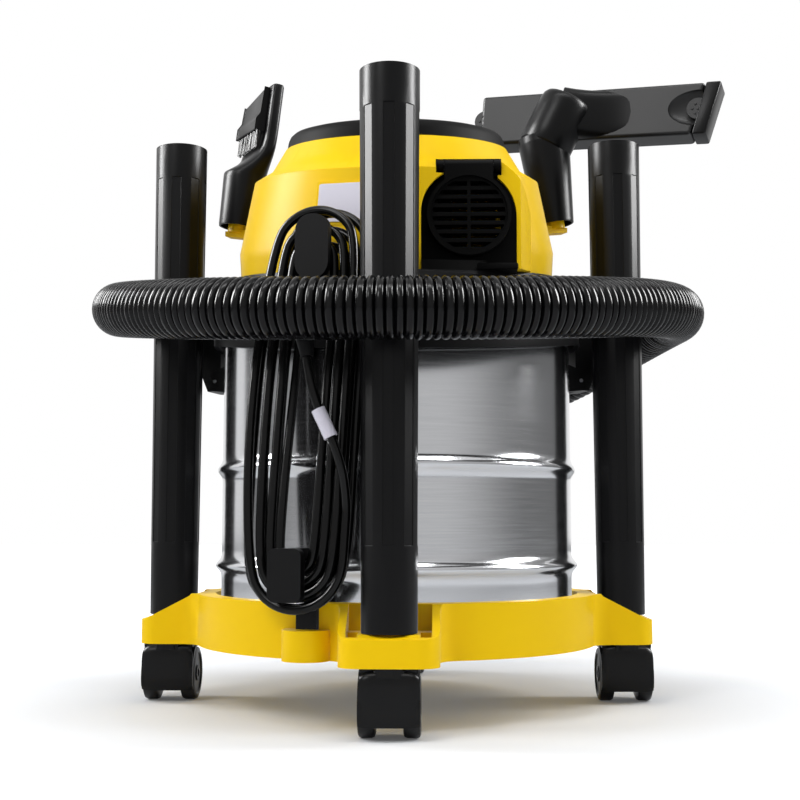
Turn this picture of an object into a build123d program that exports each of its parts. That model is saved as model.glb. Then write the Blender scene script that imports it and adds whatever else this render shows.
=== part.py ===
import os
from math import cos, pi, radians, sin, tan

from build123d import *

os.makedirs("parts", exist_ok=True)

# Frame: origin on the floor under the drum's axis, Z up; the rear, with cord and exhaust, faces -Y

# Casters and dolly
corners = {"rear": -90, "right": 0, "front": 90, "left": 180}
tube_circle = 171
caster_circle = 174
caster_trail = 14
wheel_radius = 20
wheel_inner = 8.8
wheel_outer = 20
axle_radius = 3
stem_radius = 5
running_gap = 0.05
hood_half = 8
fender_radius = 23
fender_wall = 2.2
base_z = 46
tray_floor_z = 50
tray_ledge = 108
tray_radius = 150
tray_wall = 4
tray_top_z = 83
arm_reach = 191
arm_top_z = 66
arm_half = 27
cheek = 5
arm_rounding = 13
arm_flow = 16
peg_radius = 13.5
peg_top_z = 106

# Drum
drum_radius = 133
drum_wall = 1.0
drum_top_z = 274.5
foot_rounding = 12
beads = {104: 4.4, 175: 3.6}
bead_half = 7
rim_roll = 2.2
screw_circle = 115
screw_radius = 2.5

# Head: its upper shells lean towards the rear by this angle about the X axis
lean = radians(8)
seam_z = 326
collar_radius = 141
collar_top_radius = 122.5
collar_bore = 137.2
ledge_z = 279
deck_z = 306
deck_top_z = 310
deck_radius = 106
suction_hole = 18
dome_seat = 98

# Exhaust port and its flap
flap_x = 53.5
flap_z = 350
flap_radius = 29.5
flap_back_y = -103.4
flap_front_y = -113
flap_pin_y = -108
flap_pin_z = 385
port_radius = 24
lug_inner = 17.6

# Extension tubes
tube_bottom_z = 66.4
tube_top_z = 430.5
tube_bottom_radius = 17.9
tube_top_radius = 20
tube_wall = 2
flute_bottom_z = 121
flute_top_z = 404
flute_count = 8

# Suction hose and its inlet
hose_radius = 20
hose_valley = 17.8
hose_bore = 16.4
hose_ring = 215
hose_ring_z = 302
hose_tilt = 0.168
inlet_y = 158
inlet_z = 240
hose_start_x = 17
hose_straight = 40
rib_pitch = 7.2
cuff_radius = 22.5

# Power cord
cord_radius = 3.1
cord_pitch = 6.8
hank_angle = -108.8
hank_turns = 4
hank_half = 33
hank_top_z = 305
hank_bottom_z = 117
hank_top_reach = 148
hank_bottom_reach = 164
gland_z = 262

# Accessory holders on the head
brush_x, brush_y, brush_z = -132.5, 43.8, 377
floor_x, floor_y, floor_z = 131, 66, 384
holder_lean = 0.12
holder_pin = 8


def radial_plane(angle, centre=(0, 0, 0)):
    """Upright plane through a centre: x runs outwards at this angle, y runs up."""
    a = radians(angle)
    return Plane(centre, x_dir=(cos(a), sin(a), 0), z_dir=(sin(a), -cos(a), 0))


def face_plane(angle, radius, z):
    """Upright plane that faces outwards at this angle: x runs to the right, y runs up."""
    a = radians(angle)
    return Plane((radius * cos(a), radius * sin(a), z), x_dir=(-sin(a), cos(a), 0), z_dir=(cos(a), sin(a), 0))


def head_plane(height):
    """Plane across the leaning head axis, at this height above the seam."""
    origin = (0, -height * sin(lean), seam_z + height * cos(lean))
    return Plane(origin, x_dir=(1, 0, 0), z_dir=(0, -sin(lean), cos(lean)))


def hood_plane(angle, radius, height, slope):
    """Plane that lies on the leaning hood at this angle and height, facing outwards and up by the slope."""
    a = radians(angle)
    b = radians(slope)
    base = head_plane(0)
    right = base.x_dir * -sin(a) + base.y_dir * cos(a)
    out = base.x_dir * cos(a) + base.y_dir * sin(a)
    origin = base.origin + out * radius + base.z_dir * height
    return Plane(origin, x_dir=right, z_dir=out * cos(b) + base.z_dir * sin(b))


def finish(piece, name):
    """Name the finished piece and write its file."""
    piece.part.label = name
    export_step(piece.part, f"parts/{name}.step")


head_section = Plane((0, 0, seam_z), x_dir=(1, 0, 0), z_dir=(0, -cos(lean), -sin(lean)))
head_axis = Axis((0, 0, seam_z), (0, -sin(lean), cos(lean)))

# Dolly: a moulded ring with four corner arms that flow out of it, casters below and tube pegs above
hook_angle = -111.2
hook_reach = 149.5
hook_half = 7.5
arm_width = 2 * (arm_half + cheek)
with BuildPart() as chassis:
    with BuildSketch(Plane.XY.offset(base_z)) as outline:
        Circle(tray_radius)
        for angle in (0, 90):
            Rectangle(2 * arm_reach, arm_width, rotation=angle)
        fillet(outline.vertices().filter_by(lambda v: v.center().length > arm_reach), arm_rounding)
        fillet(outline.vertices().filter_by(lambda v: v.center().length < tray_radius + 1), arm_flow)
        Circle(tray_ledge, mode=Mode.SUBTRACT)
    extrude(amount=tray_top_z - base_z)
    with BuildSketch(Plane.XY.offset(tray_floor_z)):
        Circle(tray_radius - tray_wall)
    extrude(amount=tray_top_z - tray_floor_z, mode=Mode.SUBTRACT)
    with BuildSketch(Plane.XY.offset(tray_top_z - tray_wall)):
        Circle(tray_radius - tray_wall / 2)
        Circle(drum_radius + 4, mode=Mode.SUBTRACT)
    extrude(amount=tray_wall)
    for angle in corners.values():
        with BuildSketch(radial_plane(angle)):
            Polygon((tray_radius + 1, tray_top_z + 1), (tray_radius + 3, tray_top_z - 1.5),
                    (arm_reach - 6, arm_top_z - 1), (arm_reach + 9, arm_top_z - 4),
                    (arm_reach + 9, tray_top_z + 1))
        extrude(amount=arm_width, both=True, mode=Mode.SUBTRACT)
        with BuildSketch(radial_plane(angle)):
            Polygon((tray_radius + 1, arm_top_z), (arm_reach + 1, arm_top_z), (arm_reach + 1, tray_top_z + 1),
                    (tray_radius - 2, tray_top_z + 1))
        extrude(amount=arm_half, both=True, mode=Mode.SUBTRACT)
    with BuildSketch(Plane.XY.offset(base_z)):
        with Locations(face_plane(hook_angle, hook_reach + 3, 0).origin):
            Circle(16)
    extrude(amount=arm_top_z - base_z)
    with BuildSketch(face_plane(hook_angle, hook_reach - 4, 0)):
        with Locations((0, 75)):
            Rectangle(2 * hook_half + 0.6, 38)
    extrude(amount=8, mode=Mode.SUBTRACT)
    with BuildSketch(Plane.XY.offset(arm_top_z)):
        with PolarLocations(tube_circle, 3, start_angle=-180, angular_range=180, endpoint=True):
            Circle(peg_radius)
    extrude(amount=peg_top_z - arm_top_z)
    with BuildSketch(Plane.XY.offset(base_z)):
        with PolarLocations(caster_circle, 4):
            Circle(stem_radius + running_gap)
    extrude(amount=17, mode=Mode.SUBTRACT)
    with BuildSketch(Plane.XY.offset(base_z)):
        with PolarLocations(screw_circle, 4, start_angle=45):
            Circle(screw_radius + 0.1)
    extrude(amount=10, mode=Mode.SUBTRACT)
    with BuildSketch(Plane.XY.offset(arm_top_z)):
        for side in (-1, 1):
            with PolarLocations(tube_circle + 4, 4):
                with Locations((0, side * 23.2)):
                    Rectangle(22, 7)
    extrude(amount=-14, mode=Mode.SUBTRACT)
finish(chassis, "chassis")

# Twin-wheel casters: a hood on a swivelling stem, and two wheels on one axle
for place, angle in corners.items():
    swivel_x = caster_circle * cos(radians(angle))
    swivel_y = caster_circle * sin(radians(angle))
    axle_plane = Plane((swivel_x, swivel_y + caster_trail, wheel_radius), x_dir=(0, 1, 0), z_dir=(1, 0, 0))
    with BuildPart() as fork:
        with BuildSketch(axle_plane):
            Circle(wheel_radius - 1)
            with Locations((-caster_trail / 2, 14)):
                Rectangle(caster_trail + 18, 22)
            with Locations((0, -20)):
                Rectangle(60, 17, mode=Mode.SUBTRACT)
        extrude(amount=hood_half, both=True)
        with BuildSketch(axle_plane):
            with Locations((-3, 23.2)):
                Rectangle(30, 4)
        extrude(amount=wheel_outer - 1.5, both=True)
        with BuildSketch(axle_plane):
            Circle(fender_radius)
            Circle(fender_radius - fender_wall, mode=Mode.SUBTRACT)
            Polygon((6, 40), (-40, 40), (-40, -15), (0, 0), (6, 0), mode=Mode.INTERSECT)
        extrude(amount=wheel_outer - 0.5, both=True)
        with BuildSketch(Plane((swivel_x, swivel_y, 40))):
            Circle(11)
        extrude(amount=5.6)
        with BuildSketch(Plane((swivel_x, swivel_y, 40))):
            Circle(stem_radius)
        extrude(amount=21.5)
        with BuildSketch(axle_plane):
            Circle(axle_radius)
        extrude(amount=wheel_outer - 3, both=True)
    finish(fork, f"caster_hood_{place}")
    with BuildPart() as wheels:
        for side in (-1, 1):
            with BuildSketch(axle_plane.offset(side * wheel_inner)):
                Circle(wheel_radius)
                Circle(axle_radius + running_gap, mode=Mode.SUBTRACT)
            extrude(amount=side * (wheel_outer - wheel_inner))
        rims = wheels.edges().filter_by(GeomType.CIRCLE).filter_by(lambda e: e.radius > wheel_radius - 1)
        fillet(rims, 2.5)
    finish(wheels, f"caster_wheels_{place}")


# Drum: rolled stainless steel with two beads, a rolled rim and a hole for the suction inlet
duct_x = -54
duct_radius = 19
corner = foot_rounding * cos(pi / 4)
with BuildPart() as drum:
    for inset, top, mode in ((0, drum_top_z, Mode.ADD), (drum_wall, drum_top_z + 5, Mode.SUBTRACT)):
        side = drum_radius - inset
        foot = tray_floor_z + inset
        turn_z = foot + foot_rounding
        with BuildSketch(Plane.XZ):
            with BuildLine():
                Line((0, foot), (side - foot_rounding, foot))
                ThreePointArc((side - foot_rounding, foot),
                              (side - foot_rounding + corner, turn_z - corner), (side, turn_z))
                last = turn_z
                for height, depth in beads.items():
                    Line((side, last), (side, height - bead_half))
                    ThreePointArc((side, height - bead_half), (side + depth, height),
                                  (side, height + bead_half))
                    last = height + bead_half
                Line((side, last), (side, top))
                Line((side, top), (0, top))
                Line((0, top), (0, foot))
            make_face()
        revolve(axis=Axis.Z, mode=mode)
        if mode == Mode.ADD:
            with BuildSketch(Plane.XZ):
                with Locations((drum_radius + 1, drum_top_z)):
                    Circle(rim_roll)
            revolve(axis=Axis.Z)
    with BuildSketch(Plane.XZ.offset(-90)):
        with Locations((duct_x, inlet_z)):
            Circle(duct_radius + 0.3)
            with GridLocations(46, 42, 2, 2):
                Circle(screw_radius + 0.1)
    extrude(amount=-60, mode=Mode.SUBTRACT)
    with BuildSketch(Plane.XY.offset(tray_floor_z)):
        with PolarLocations(screw_circle, 4, start_angle=45):
            Circle(screw_radius + 0.1)
    extrude(amount=4, mode=Mode.SUBTRACT)
finish(drum, "drum")

# Four screws hold the drum's floor to the tray
with BuildPart() as drum_screws:
    with BuildSketch(Plane.XY.offset(base_z)):
        with PolarLocations(screw_circle, 4, start_angle=45):
            Circle(4.5)
    extrude(amount=-2.5)
    with BuildSketch(Plane.XY.offset(base_z)):
        with PolarLocations(screw_circle, 4, start_angle=45):
            Circle(screw_radius)
    extrude(amount=9)
finish(drum_screws, "drum_screws")

# Suction inlet: a tangential elbow on a saddle flange at the front of the drum
port_end_x = hose_start_x - 50
flange_y = 135
with BuildPart() as inlet_port:
    with BuildSketch(Plane.XZ.offset(-100)):
        with Locations((duct_x, inlet_z)):
            RectangleRounded(58, 54, 8)
    extrude(amount=100 - flange_y)
    with BuildSketch(Plane.XY.offset(inlet_z - 30)):
        Circle(drum_radius)
    extrude(amount=60, mode=Mode.SUBTRACT)
    with BuildSketch(Plane.XZ.offset(-inlet_y)):
        with Locations((duct_x, inlet_z)):
            Circle(duct_radius)
    extrude(amount=46)
    with BuildSketch(Plane.YZ.offset(duct_x - 24)):
        with Locations((inlet_y, inlet_z)):
            Circle(cuff_radius)
    extrude(amount=port_end_x - duct_x + 24)
    with BuildSketch(Plane.YZ.offset(duct_x - 20)):
        with Locations((inlet_y, inlet_z)):
            Circle(hose_bore)
    extrude(amount=port_end_x - duct_x + 30, mode=Mode.SUBTRACT)
    with BuildSketch(Plane.XZ.offset(-inlet_y)):
        with Locations((duct_x, inlet_z)):
            Circle(hose_bore - 1)
    extrude(amount=60, mode=Mode.SUBTRACT)
    with BuildSketch(Plane.XZ.offset(-flange_y)):
        with Locations((duct_x, inlet_z)):
            with GridLocations(46, 42, 2, 2):
                Circle(screw_radius)
    extrude(amount=50, mode=Mode.SUBTRACT)
finish(inlet_port, "inlet_port")

# Four screws hold the inlet's flange to the drum
with BuildPart() as inlet_screws:
    for x, depth in ((duct_x - 23, 34), (duct_x + 23, 16)):
        with BuildSketch(Plane.XZ.offset(-flange_y)):
            with Locations((x, inlet_z - 21), (x, inlet_z + 21)):
                Circle(screw_radius)
        extrude(amount=depth)
        with BuildSketch(Plane.XZ.offset(-flange_y)):
            with Locations((x, inlet_z - 21), (x, inlet_z + 21)):
                Circle(4.2)
        extrude(amount=-2.4)
finish(inlet_screws, "inlet_screws")

# Head collar: skirt over the drum's rim, sealing ledge, and the deck that carries the motor
hank_pad_reach = 141.2
cradle_y = 130
with BuildPart() as head_collar:
    with BuildSketch(Plane.XZ):
        Polygon((collar_bore, 245), (collar_radius, 245), (collar_radius, 284), (138, 292),
                (collar_top_radius, 308), (collar_top_radius, 360), (deck_radius, 360),
                (deck_radius, ledge_z), (collar_bore, ledge_z))
    revolve(axis=Axis.Z)
    with BuildSketch(face_plane(hank_angle, 112, 290)):
        with Locations((-18, 0)):
            Rectangle(70, 20)
    extrude(amount=hank_pad_reach - 112)
    with BuildSketch(Plane.XZ.offset(-96)):
        with Locations((56, 320)):
            Rectangle(32, 24)
    extrude(amount=96 - cradle_y)
    with BuildSketch(head_plane(0)):
        Circle(200)
    extrude(amount=80, mode=Mode.SUBTRACT)
    with BuildSketch(Plane.YZ):
        Polygon((-200, 200), (-200, 242.1), (-22.3, 270), (200, 270), (200, 200))
    extrude(amount=200, both=True, mode=Mode.SUBTRACT)
    with BuildSketch(Plane.XZ):
        Polygon((deck_radius, ledge_z), (deck_radius, deck_top_z), (suction_hole, deck_top_z),
                (suction_hole, deck_z), (102, deck_z), (102, ledge_z))
    revolve(axis=Axis.Z)
finish(head_collar, "head_collar")

# Rubber seal between the drum's rolled rim and the collar's ledge, squeezed a little by the rim
rim_top_z = drum_top_z + rim_roll - 0.3
with BuildPart() as head_seal:
    with BuildSketch(Plane.XZ):
        Polygon((130.5, rim_top_z), (136.8, rim_top_z), (136.8, ledge_z), (130.5, ledge_z))
    revolve(axis=Axis.Z)
finish(head_seal, "head_seal")

# Motor hood: the moulded shell round the motor, with a shoulder, accessory holders and a switch boss
knob_z = 385
plate_plane = hood_plane(-108, 115.5, 47, 12.3)
boss_y = 119
floor_pin_plane = Plane((floor_x, floor_y, floor_z), x_dir=(0, 1, 0), z_dir=(-holder_lean, 0, 1))
brush_pin_plane = Plane((brush_x, brush_y, brush_z), x_dir=(0, 1, 0), z_dir=(holder_lean, 0, 1))

# Outline of the exhaust port: an arch with a tab above it for the flap's hinge
arch_radius = flap_radius + 4
port_bottom_z = 315.5
with BuildSketch(Plane.XZ.offset(78)) as port_outline:
    with Locations((flap_x, flap_z)):
        Circle(arch_radius)
    with Locations((flap_x, (flap_z + port_bottom_z) / 2)):
        Rectangle(2 * arch_radius, flap_z - port_bottom_z)
    with Locations((flap_x, flap_pin_z)):
        Rectangle(2 * lug_inner + 11, 13)

# Cheek of the hood beside the port, that brings its wall forward to the flap
cheek_radius = arch_radius + 11
with BuildPart() as exhaust_cheek:
    with BuildSketch(Plane.XY.offset(312)):
        Polygon((74, -70), (74, -107), (90, -106), (111, -66), (104, -58))
    extrude(amount=82)
    with BuildSketch(Plane.XZ.offset(50)):
        with Locations((flap_x, flap_z)):
            Circle(cheek_radius)
        with Locations((flap_x, flap_z - 20)):
            Rectangle(2 * cheek_radius, 40)
    extrude(amount=70, mode=Mode.INTERSECT)

with BuildPart() as head_cover:
    with BuildSketch(head_section):
        Polygon((121, 0), (121.8, 18), (110, 72), (97, 80), (86, dome_seat), (83, dome_seat),
                (94, 77.6), (107, 69.6), (118.8, 18), (118, 0))
    revolve(axis=head_axis)
    with BuildSketch(Plane.XZ.offset(-85)):
        with Locations((0, knob_z)):
            Circle(22)
    extrude(amount=-(boss_y - 85))
    add(exhaust_cheek.part)
    for pin_plane in (brush_pin_plane, floor_pin_plane):
        place = Vector(pin_plane.origin.X, pin_plane.origin.Y)
        top = pin_plane.origin.Z - 2.4
        end = place.length + holder_pin + 1
        with BuildSketch(radial_plane(place.get_angle(Vector(1, 0)))):
            Polygon((104, top - 12), (end, top - 4), (end, top), (104, top))
        extrude(amount=5, both=True)
        with BuildSketch(pin_plane.offset(-4)):
            Circle(holder_pin)
        extrude(amount=36)
    with BuildSketch(plate_plane.offset(-5)):
        Rectangle(38, 32)
    extrude(amount=5.4)
    extrude(port_outline.sketch, amount=60, mode=Mode.SUBTRACT)
    with BuildSketch(Plane.XZ.offset(-60)):
        with Locations((0, knob_z)):
            Circle(axle_radius + running_gap)
    extrude(amount=-80, mode=Mode.SUBTRACT)
    for angle in (0, 180):
        with BuildSketch(face_plane(angle, 119.6, 339)):
            Ellipse(7, 11)
        extrude(amount=10, mode=Mode.SUBTRACT)
    with BuildSketch(head_plane(0)):
        Circle(220)
    extrude(amount=-80, mode=Mode.SUBTRACT)
finish(head_cover, "head_cover")

# Blank rating plate on the rear of the hood
with BuildPart() as rating_plate:
    with BuildSketch(plate_plane.offset(0.4)):
        RectangleRounded(34, 28, 1.5)
    extrude(amount=0.8)
finish(rating_plate, "rating_plate")

# Top cap: a shallow dome with two lugs for the carrying handle
lug_x = 46
lug_y = 34
handle_pin_h = 116.5
with BuildPart() as top_dome:
    with BuildSketch(head_section):
        Polygon((84.5, dome_seat), (80.5, 104), (70, 110), (0, 115.5), (0, 112), (69, 106.6),
                (78, 101.5), (80.5, dome_seat))
    revolve(axis=head_axis)
    with BuildSketch(head_plane(110)):
        with Locations((-lug_x, lug_y), (lug_x, lug_y)):
            Rectangle(7, 11)
    extrude(amount=11)
    pin_start = head_plane(handle_pin_h).from_local_coords((-80, lug_y, 0))
    pin_plane = Plane(pin_start, x_dir=(0, 1, 0), z_dir=(1, 0, 0))
    with BuildSketch(pin_plane):
        Circle(2.52)
    extrude(amount=160, mode=Mode.SUBTRACT)
finish(top_dome, "top_dome")

# Carrying handle: a bail that lies flat on the dome and swings up
arm_inner = 50.2
arm_outer = 57
bar_y = 70
with BuildPart() as carry_handle:
    with BuildSketch(head_plane(handle_pin_h - 4)):
        with Locations((0, (lug_y + bar_y) / 2)):
            Rectangle(2 * arm_outer, bar_y - lug_y + 9)
        with Locations((0, (lug_y + bar_y) / 2 - 8)):
            Rectangle(2 * arm_inner, bar_y - lug_y + 9, mode=Mode.SUBTRACT)
    extrude(amount=8)
    fillet(carry_handle.edges().filter_by(Axis.X).filter_by(lambda e: e.length < 20), 3.5)
    with BuildSketch(pin_plane):
        Circle(2.5 + running_gap)
    extrude(amount=160, mode=Mode.SUBTRACT)
finish(carry_handle, "carry_handle")

# Handle pins, pressed through the lugs
with BuildPart() as handle_pins:
    for start in (-arm_outer, lug_x - 3.5):
        with BuildSketch(pin_plane.offset(80 + start)):
            Circle(2.5)
        extrude(amount=arm_outer - lug_x + 3.5)
finish(handle_pins, "handle_pins")

# Exhaust port: a black housing set into the rear of the hood, with lugs for the flap
with BuildPart() as exhaust_housing:
    extrude(port_outline.sketch, amount=25)
    for side in (-1, 1):
        with BuildSketch(Plane.YZ.offset(flap_x + side * lug_inner)):
            with Locations((flap_pin_y, flap_pin_z)):
                Circle(4)
            with Locations((flap_pin_y + 3.5, flap_pin_z)):
                Rectangle(7, 8)
        extrude(amount=side * 5)
    with BuildSketch(Plane.XZ.offset(78)):
        with Locations((flap_x, flap_z)):
            Circle(port_radius)
    extrude(amount=30, mode=Mode.SUBTRACT)
    with BuildSketch(Plane.YZ.offset(flap_x - 40)):
        with Locations((flap_pin_y, flap_pin_z)):
            Circle(1.52)
    extrude(amount=80, mode=Mode.SUBTRACT)
finish(exhaust_housing, "exhaust_housing")

# Exhaust flap: a round louvred lid that swings up on its tab
slat_pitch = 6.2
with BuildPart() as exhaust_flap:
    with BuildSketch(Plane.XZ.offset(-flap_back_y)):
        with Locations((flap_x, flap_z)):
            Circle(flap_radius)
            with Locations((0, flap_radius - 2)):
                Rectangle(2 * lug_inner - 1.2, 8)
    extrude(amount=flap_back_y - flap_front_y)
    with BuildSketch(Plane.YZ.offset(flap_x)):
        with Locations((flap_pin_y, flap_pin_z)):
            Circle(4)
            with Locations((-1.5, -4)):
                Rectangle(7, 8)
    extrude(amount=lug_inner - 0.6, both=True)
    with BuildSketch(Plane.XZ.offset(-flap_back_y - 1)):
        with Locations((flap_x, flap_z)):
            with GridLocations(0, slat_pitch, 1, 8):
                Rectangle(60, 3.4)
            Circle(flap_radius - 4, mode=Mode.INTERSECT)
            Rectangle(2.4, 60, mode=Mode.SUBTRACT)
    extrude(amount=20, mode=Mode.SUBTRACT)
    with BuildSketch(Plane.XZ.offset(-flap_front_y)):
        with Locations((flap_x, flap_z)):
            Circle(flap_radius - 2.5)
    extrude(amount=-2.5, mode=Mode.SUBTRACT)
    with BuildSketch(Plane.YZ.offset(flap_x - 40)):
        with Locations((flap_pin_y, flap_pin_z)):
            Circle(1.5 + running_gap)
    extrude(amount=80, mode=Mode.SUBTRACT)
finish(exhaust_flap, "exhaust_flap")

# Pin of the exhaust flap
with BuildPart() as flap_pin:
    with BuildSketch(Plane.YZ.offset(flap_x - lug_inner - 5)):
        with Locations((flap_pin_y, flap_pin_z)):
            Circle(1.5)
    extrude(amount=2 * lug_inner + 10)
finish(flap_pin, "flap_pin")

# Switch: a body inside the hood and a rotary knob on the front boss
with BuildPart() as power_switch:
    with BuildSketch(Plane.XZ.offset(-68)):
        with Locations((0, knob_z)):
            Rectangle(26, 26)
            Circle(axle_radius + running_gap, mode=Mode.SUBTRACT)
    extrude(amount=-17)
finish(power_switch, "power_switch")

with BuildPart() as switch_knob:
    with BuildSketch(Plane.XZ.offset(-boss_y - 0.5)):
        with Locations((0, knob_z)):
            Circle(19)
    extrude(amount=-8)
    with BuildSketch(Plane.XZ.offset(-boss_y - 8)):
        with Locations((0, knob_z)):
            RectangleRounded(9, 34, 4)
    extrude(amount=-10)
    with BuildSketch(Plane.XZ.offset(-72)):
        with Locations((0, knob_z)):
            Circle(axle_radius)
    extrude(amount=-50)
finish(switch_knob, "switch_knob")

# Motor: fan casing and can on the deck, stator, and the rotor with its fan wheel on one shaft
casing_top_z = 344
can_top_z = 402
shaft_radius = 4
with BuildPart() as fan_casing:
    with BuildSketch(Plane.XZ):
        Polygon((suction_hole, deck_top_z), (62, deck_top_z), (62, casing_top_z), (20, casing_top_z),
                (20, casing_top_z - 3), (58, casing_top_z - 3), (58, deck_top_z + 3),
                (suction_hole, deck_top_z + 3))
    revolve(axis=Axis.Z)
    with BuildSketch(Plane.XY.offset(deck_top_z + 8)):
        with PolarLocations(60, 8):
            Rectangle(12, 16)
    extrude(amount=14, mode=Mode.SUBTRACT)
finish(fan_casing, "fan_casing")

with BuildPart() as motor_can:
    with BuildSketch(Plane.XZ):
        Polygon((11, casing_top_z), (44, casing_top_z), (44, can_top_z), (11, can_top_z),
                (11, can_top_z - 4), (41, can_top_z - 4), (41, casing_top_z + 4), (11, casing_top_z + 4))
    revolve(axis=Axis.Z)
finish(motor_can, "motor_can")

with BuildPart() as motor_stator:
    with BuildSketch(Plane.XZ):
        Polygon((26, 354), (41, 354), (41, 390), (26, 390))
    revolve(axis=Axis.Z)
finish(motor_stator, "motor_stator")

with BuildPart() as motor_rotor:
    with BuildSketch(Plane.XZ):
        Polygon((0, 316), (shaft_radius, 316), (shaft_radius, 356), (24, 356), (24, 388),
                (shaft_radius, 388), (shaft_radius, 406), (0, 406))
    revolve(axis=Axis.Z)
finish(motor_rotor, "motor_rotor")

with BuildPart() as fan_wheel:
    with BuildSketch(Plane.XZ):
        Polygon((shaft_radius, 318), (9, 318), (9, 332), (52, 332), (52, 335), (shaft_radius, 335))
    revolve(axis=Axis.Z)
    with BuildSketch(Plane.XY.offset(319)):
        with PolarLocations(32, 9):
            Rectangle(38, 1.6)
    extrude(amount=13.5)
finish(fan_wheel, "fan_wheel")

for place, bottom in (("lower", casing_top_z), ("upper", can_top_z - 7)):
    with BuildPart() as bearing:
        with BuildSketch(Plane.XZ):
            Polygon((shaft_radius + running_gap, bottom), (11, bottom), (11, bottom + 7),
                    (shaft_radius + running_gap, bottom + 7))
        revolve(axis=Axis.Z)
    finish(bearing, f"bearing_{place}")

# Filter: a pleated cartridge under the deck, closed by a cap, round the float's cage
filter_bottom_z = 182
pleats = 36
with BuildPart() as filter_cartridge:
    with BuildSketch(Plane.XY.offset(filter_bottom_z)):
        Circle(49)
        with PolarLocations(49, pleats):
            RegularPolygon(3.4, 4)
        Circle(40, mode=Mode.SUBTRACT)
    extrude(amount=deck_z - filter_bottom_z)
finish(filter_cartridge, "filter_cartridge")

with BuildPart() as filter_cap:
    with BuildSketch(Plane.XY.offset(filter_bottom_z)):
        Circle(54)
    extrude(amount=-6)
    with BuildSketch(Plane.XY.offset(filter_bottom_z - 6)):
        RectangleRounded(50, 10, 4)
    extrude(amount=-12)
finish(filter_cap, "filter_cap")

cage_bottom_z = 248
float_radius = 16
float_seat = 12
float_z = cage_bottom_z + 4 + float_radius
with BuildPart() as float_cage:
    with BuildSketch(Plane.XY.offset(deck_z)):
        Circle(25)
        Circle(float_seat, mode=Mode.SUBTRACT)
    extrude(amount=-4)
    with BuildSketch(Plane.XY.offset(cage_bottom_z)):
        with PolarLocations(22, 6):
            Rectangle(4, 5)
    extrude(amount=deck_z - cage_bottom_z)
    with BuildSketch(Plane.XY.offset(cage_bottom_z)):
        Circle(25)
    extrude(amount=3.5)
finish(float_cage, "float_cage")

with BuildPart() as float_ball:
    with Locations((0, 0, float_z)):
        Sphere(float_radius)
finish(float_ball, "float_ball")

# Side latches: a clip on a pin at the drum's side that hooks over the collar's shoulder
latch_angles = {"left": 165.5, "right": 14.5}
latch_pin_reach = 146
latch_pin_z = 247.6
latch_half = 13
with BuildPart() as latch_brackets:
    for angle in latch_angles.values():
        for side in (-1, 1):
            with BuildSketch(radial_plane(angle).offset(side * (latch_half + 2.4))):
                Polygon((131, 238), (150, 240), (150, 254), (131, 262))
                with Locations((latch_pin_reach, latch_pin_z)):
                    Circle(1.52, mode=Mode.SUBTRACT)
            extrude(amount=2, both=True)
        with BuildSketch(face_plane(angle, 120, 250)):
            Rectangle(2 * latch_half + 8.8, 18)
        extrude(amount=16.5)
    with BuildSketch(Plane.XY.offset(230)):
        Circle(drum_radius)
    extrude(amount=40, mode=Mode.SUBTRACT)
finish(latch_brackets, "latch_brackets")

with BuildPart() as latch_pins:
    for angle in latch_angles.values():
        with BuildSketch(radial_plane(angle)):
            with Locations((latch_pin_reach, latch_pin_z)):
                Circle(1.5)
        extrude(amount=latch_half + 4.4, both=True)
finish(latch_pins, "latch_pins")

for place, angle in latch_angles.items():
    with BuildPart() as latch:
        with BuildSketch(radial_plane(angle)):
            Polygon((143, 245), (146, 240), (154, 240), (159, 252), (159, 288), (154, 300), (135, 300),
                    (135, 297.3), (143, 288.5))
            with Locations((latch_pin_reach, latch_pin_z)):
                Circle(1.5 + running_gap, mode=Mode.SUBTRACT)
        extrude(amount=latch_half, both=True)
    finish(latch, f"latch_{place}")


def tube_radius(z):
    """Outer radius of an extension tube at this height."""
    share = (z - tube_bottom_z) / (tube_top_z - tube_bottom_z)
    return tube_bottom_radius + (tube_top_radius - tube_bottom_radius) * share


# Extension tubes: tapered, fluted along the body, standing on the corner pegs
for place in ("rear", "right", "left"):
    tube_x = tube_circle * cos(radians(corners[place]))
    tube_y = tube_circle * sin(radians(corners[place]))
    with BuildPart() as tube:
        with BuildSketch(Plane((tube_x, tube_y, 0), x_dir=(1, 0, 0), z_dir=(0, -1, 0))):
            Polygon((tube_bottom_radius, tube_bottom_z), (tube_top_radius, tube_top_z),
                    (tube_top_radius - tube_wall, tube_top_z),
                    (tube_bottom_radius - tube_wall, tube_bottom_z))
        revolve(axis=Axis((tube_x, tube_y, 0), (0, 0, 1)))
        for flute in range(flute_count):
            with BuildSketch(radial_plane(360 / flute_count * flute, (tube_x, tube_y, 0))):
                Polygon((tube_radius(flute_bottom_z) - 0.8, flute_bottom_z), (30, flute_bottom_z),
                        (30, flute_top_z), (tube_radius(flute_top_z) - 0.8, flute_top_z))
            extrude(amount=3.6, both=True, mode=Mode.SUBTRACT)
    finish(tube, f"extension_tube_{place}")


def hose_point(s):
    """Point of the hose's centreline at this length from the inlet cuff."""
    bend = inlet_y * pi / 2
    half = hose_ring * pi
    if s < hose_straight:
        return Vector(hose_start_x + s, inlet_y, inlet_z)
    s -= hose_straight
    if s < bend:
        turn = s / inlet_y
        rise = turn / (pi / 2)
        y = inlet_y * cos(turn)
        ring_z = hose_ring_z + hose_tilt * y
        blend = rise * rise * (3 - 2 * rise)
        return Vector(hose_ring - inlet_y + inlet_y * sin(turn), y, inlet_z + (ring_z - inlet_z) * blend)
    s -= bend
    turn = min(s / hose_ring, 1.5 * pi)
    y = -hose_ring * sin(turn) * cos(hose_tilt)
    x = hose_ring * cos(turn) + max(s - 1.5 * half, 0)
    return Vector(x, y, hose_ring_z + hose_tilt * y)


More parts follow.
